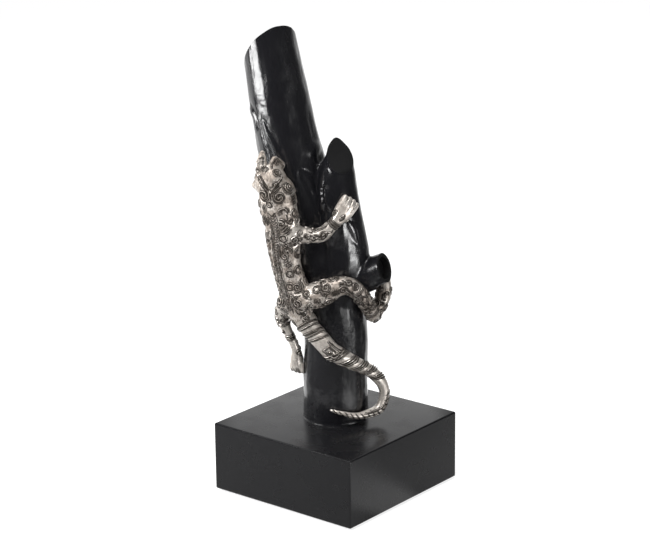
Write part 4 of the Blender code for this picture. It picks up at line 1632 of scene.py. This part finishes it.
# Share of fur and film along each limb, and at its end
furShares = {
    "body": (1.0, 1.0),
    "forelegRight": (0.4, 0.55),
    "forelegLeft": (0.4, 0.55),
    "hindlegRight": (0.95, 0.5),
    "hindlegLeft": (0.1, 0.2),
    "tail": (0.3, 0),
}


# Each point of the skin records its run along the nearest limb, its place round it, and its share of fur
def noteFlow(mesh):
    stations = [(line, i) for line in heartLines.values() for i in range(len(line.path))]
    stations += [(heartLines["body"], len(heartLines["body"].path) - 1)]
    finder = KDTree(len(stations))
    for k, (line, i) in enumerate(stations[:-1]):
        finder.insert(line.path[i, :3], k)
    finder.insert(headMiddle, len(stations) - 1)
    finder.balance()
    flow = []
    for vert in mesh.vertices:
        line, i = stations[finder.find(vert.co)[1]]
        right, forward, out = line.frames[i]
        away = vert.co - Vector(line.path[i, :3])
        angle = math.atan2(away.dot(right), away.dot(out))
        full, paw = furShares[line.name]
        fine = float(np.interp(line.length - line.run[i], (3, 10), (paw, full)))
        radius = 0.5 * (line.path[i, 3] + line.path[i, 4])
        flow += [line.run[i] * mm + away.dot(forward), angle * radius, fine]
    mesh.attributes.new("flow", "FLOAT_VECTOR", "POINT").data.foreach_set("vector", flow)


noteFlow(skin.data)
cuts = linesObject("cut_lines", cutLines())
raised = linesObject("raised_lines", [line for line in raisedLines() if len(line[0]) > 1])
runTree(skin, lineTree, lines=cuts, material=silver, **catSettings["cut"])
runTree(skin, lineTree, lines=raised, material=silver, **catSettings["raised"])
runTree(skin, makeHollowTree(), reach=catSettings["hollowReach"], material=silver)
dropHelper(cuts)
dropHelper(raised)
print("stage: relief raised")


# Castings: the skin is parted where each limb is soldered to the body.
# Heart line, run of the seam, and reach of the cut, in mm
castingCuts = {
    "foreleg_right": ("forelegRight", 9.0, 13),
    "foreleg_left": ("forelegLeft", 6.5, 12),
    "hindleg_right": ("hindlegRight", 12.0, 17),
    "hindleg_left": ("hindlegLeft", 9.0, 13),
    "tail": ("tail", 6.0, 14),
}


def partCastings():
    work = bmesh.new()
    work.from_mesh(skin.data)
    castings = {}
    for name, (lineName, run, reach) in castingCuts.items():
        place, (_, forward, _), _ = heartLines[lineName].at(run)
        beyond = beyondCut(work, place, forward, reach * mm)
        work.faces.index_update()
        marks = [face.index for face in beyond]
        limb = work.copy()
        limb.faces.ensure_lookup_table()
        keepFaces(limb, {limb.faces[i] for i in marks}, True)
        closeRim(limb)
        keepFaces(work, beyond, False)
        closeRim(work)
        castings[name] = helperObject(name, meshFrom(limb, name))
    castings["body_casting"] = helperObject("body_casting", meshFrom(work, "body_casting"))
    for casting in castings.values():
        triangles = sum(len(face.vertices) - 2 for face in casting.data.polygons)
        if triangles > catSettings["mostTriangles"]:
            lighter = casting.modifiers.new("lighter", "DECIMATE")
            lighter.ratio = catSettings["mostTriangles"] / triangles
            bake(casting)
    return castings


castings = partCastings()
print("stage: castings parted", {name: len(obj.data.polygons) for name, obj in castings.items()})


# Block and felt

blockSettings = {
    "side": 130 * mm,
    "low": 1.8 * mm,
    "height": 52.5 * mm,
    "edge": 1.3 * mm,
    "pocketRadius": 9 * mm,
    "pocketTop": 15.8 * mm,
    "holeRadius": 2.8 * mm,
    "holeTop": 80 * mm,
    "holeSpacing": 24 * mm,
}
feltSettings = {"thickness": 1.5 * mm, "inset": 4 * mm, "edge": 0.45 * mm}


def slab(name, side, low, high, edgeWidth, segments):
    work = bmesh.new()
    bmesh.ops.create_cube(work, size=1)
    size = Matrix.Diagonal((side, side, high - low, 1))
    work.transform(Matrix.Translation((0, 0, (low + high) / 2)) @ size)
    made = helperObject(name, meshFrom(work, name))
    edge = made.modifiers.new("edge", "BEVEL")
    edge.width = edgeWidth
    edge.segments = segments
    return made


def makeBlock():
    low = blockSettings["low"]
    block = slab("block", blockSettings["side"], low, low + blockSettings["height"], blockSettings["edge"], 5)
    turn = math.radians(standSettings["turn"])
    pocket = (blockSettings["pocketRadius"], blockSettings["pocketTop"])
    hole = (blockSettings["holeRadius"], blockSettings["holeTop"])
    drills = []
    for side in (-1, 1):
        x, y = (side * blockSettings["holeSpacing"] / 2 * part for part in (math.cos(turn), math.sin(turn)))
        for radius, top in (pocket, hole):
            work = bmesh.new()
            bmesh.ops.create_cone(work, cap_ends=True, segments=48, radius1=radius, radius2=radius, depth=top)
            work.transform(Matrix.Translation((x, y, top / 2)))
            drills.append(helperObject("drill", meshFrom(work, "drill")))
            cut = block.modifiers.new("hole", "BOOLEAN")
            cut.operation = "DIFFERENCE"
            cut.solver = "EXACT"
            cut.object = drills[-1]
    bake(block)
    for drill in drills:
        dropHelper(drill)
    return block


def makeFelt():
    side = blockSettings["side"] - 2 * feltSettings["inset"]
    return bake(slab("felt", side, 0, feltSettings["thickness"], feltSettings["edge"], 4))


# Dressing: each piece rides on the one body, stands for its CAD node and takes its slot's finish

smallParts = [f"{kind}_{i}" for kind in ("branch_screw", "screw_washer", "belly_stud") for i in (1, 2)]

dressPiece(makeBlock(), [lacquer], "base_block", 30)
dressPiece(makeFelt(), [feltFinish], "felt_pad", 40)
for node in smallParts:
    for slot in frame["nodes"][node].material_slots:
        slot.material = zinc

branch.name = "branch_limbs"
branch.data.transform(stand)
dressPiece(branch, [bark, sawn], "branch", 50)
for node, casting in castings.items():
    casting.name = node + "_silver"
    casting.data.transform(stand)
    dressPiece(casting, [silver], node)
for obj in list(helpers.objects):
    bpy.data.objects.remove(obj)
bpy.data.collections.remove(helpers)
print("stage: pieces placed")
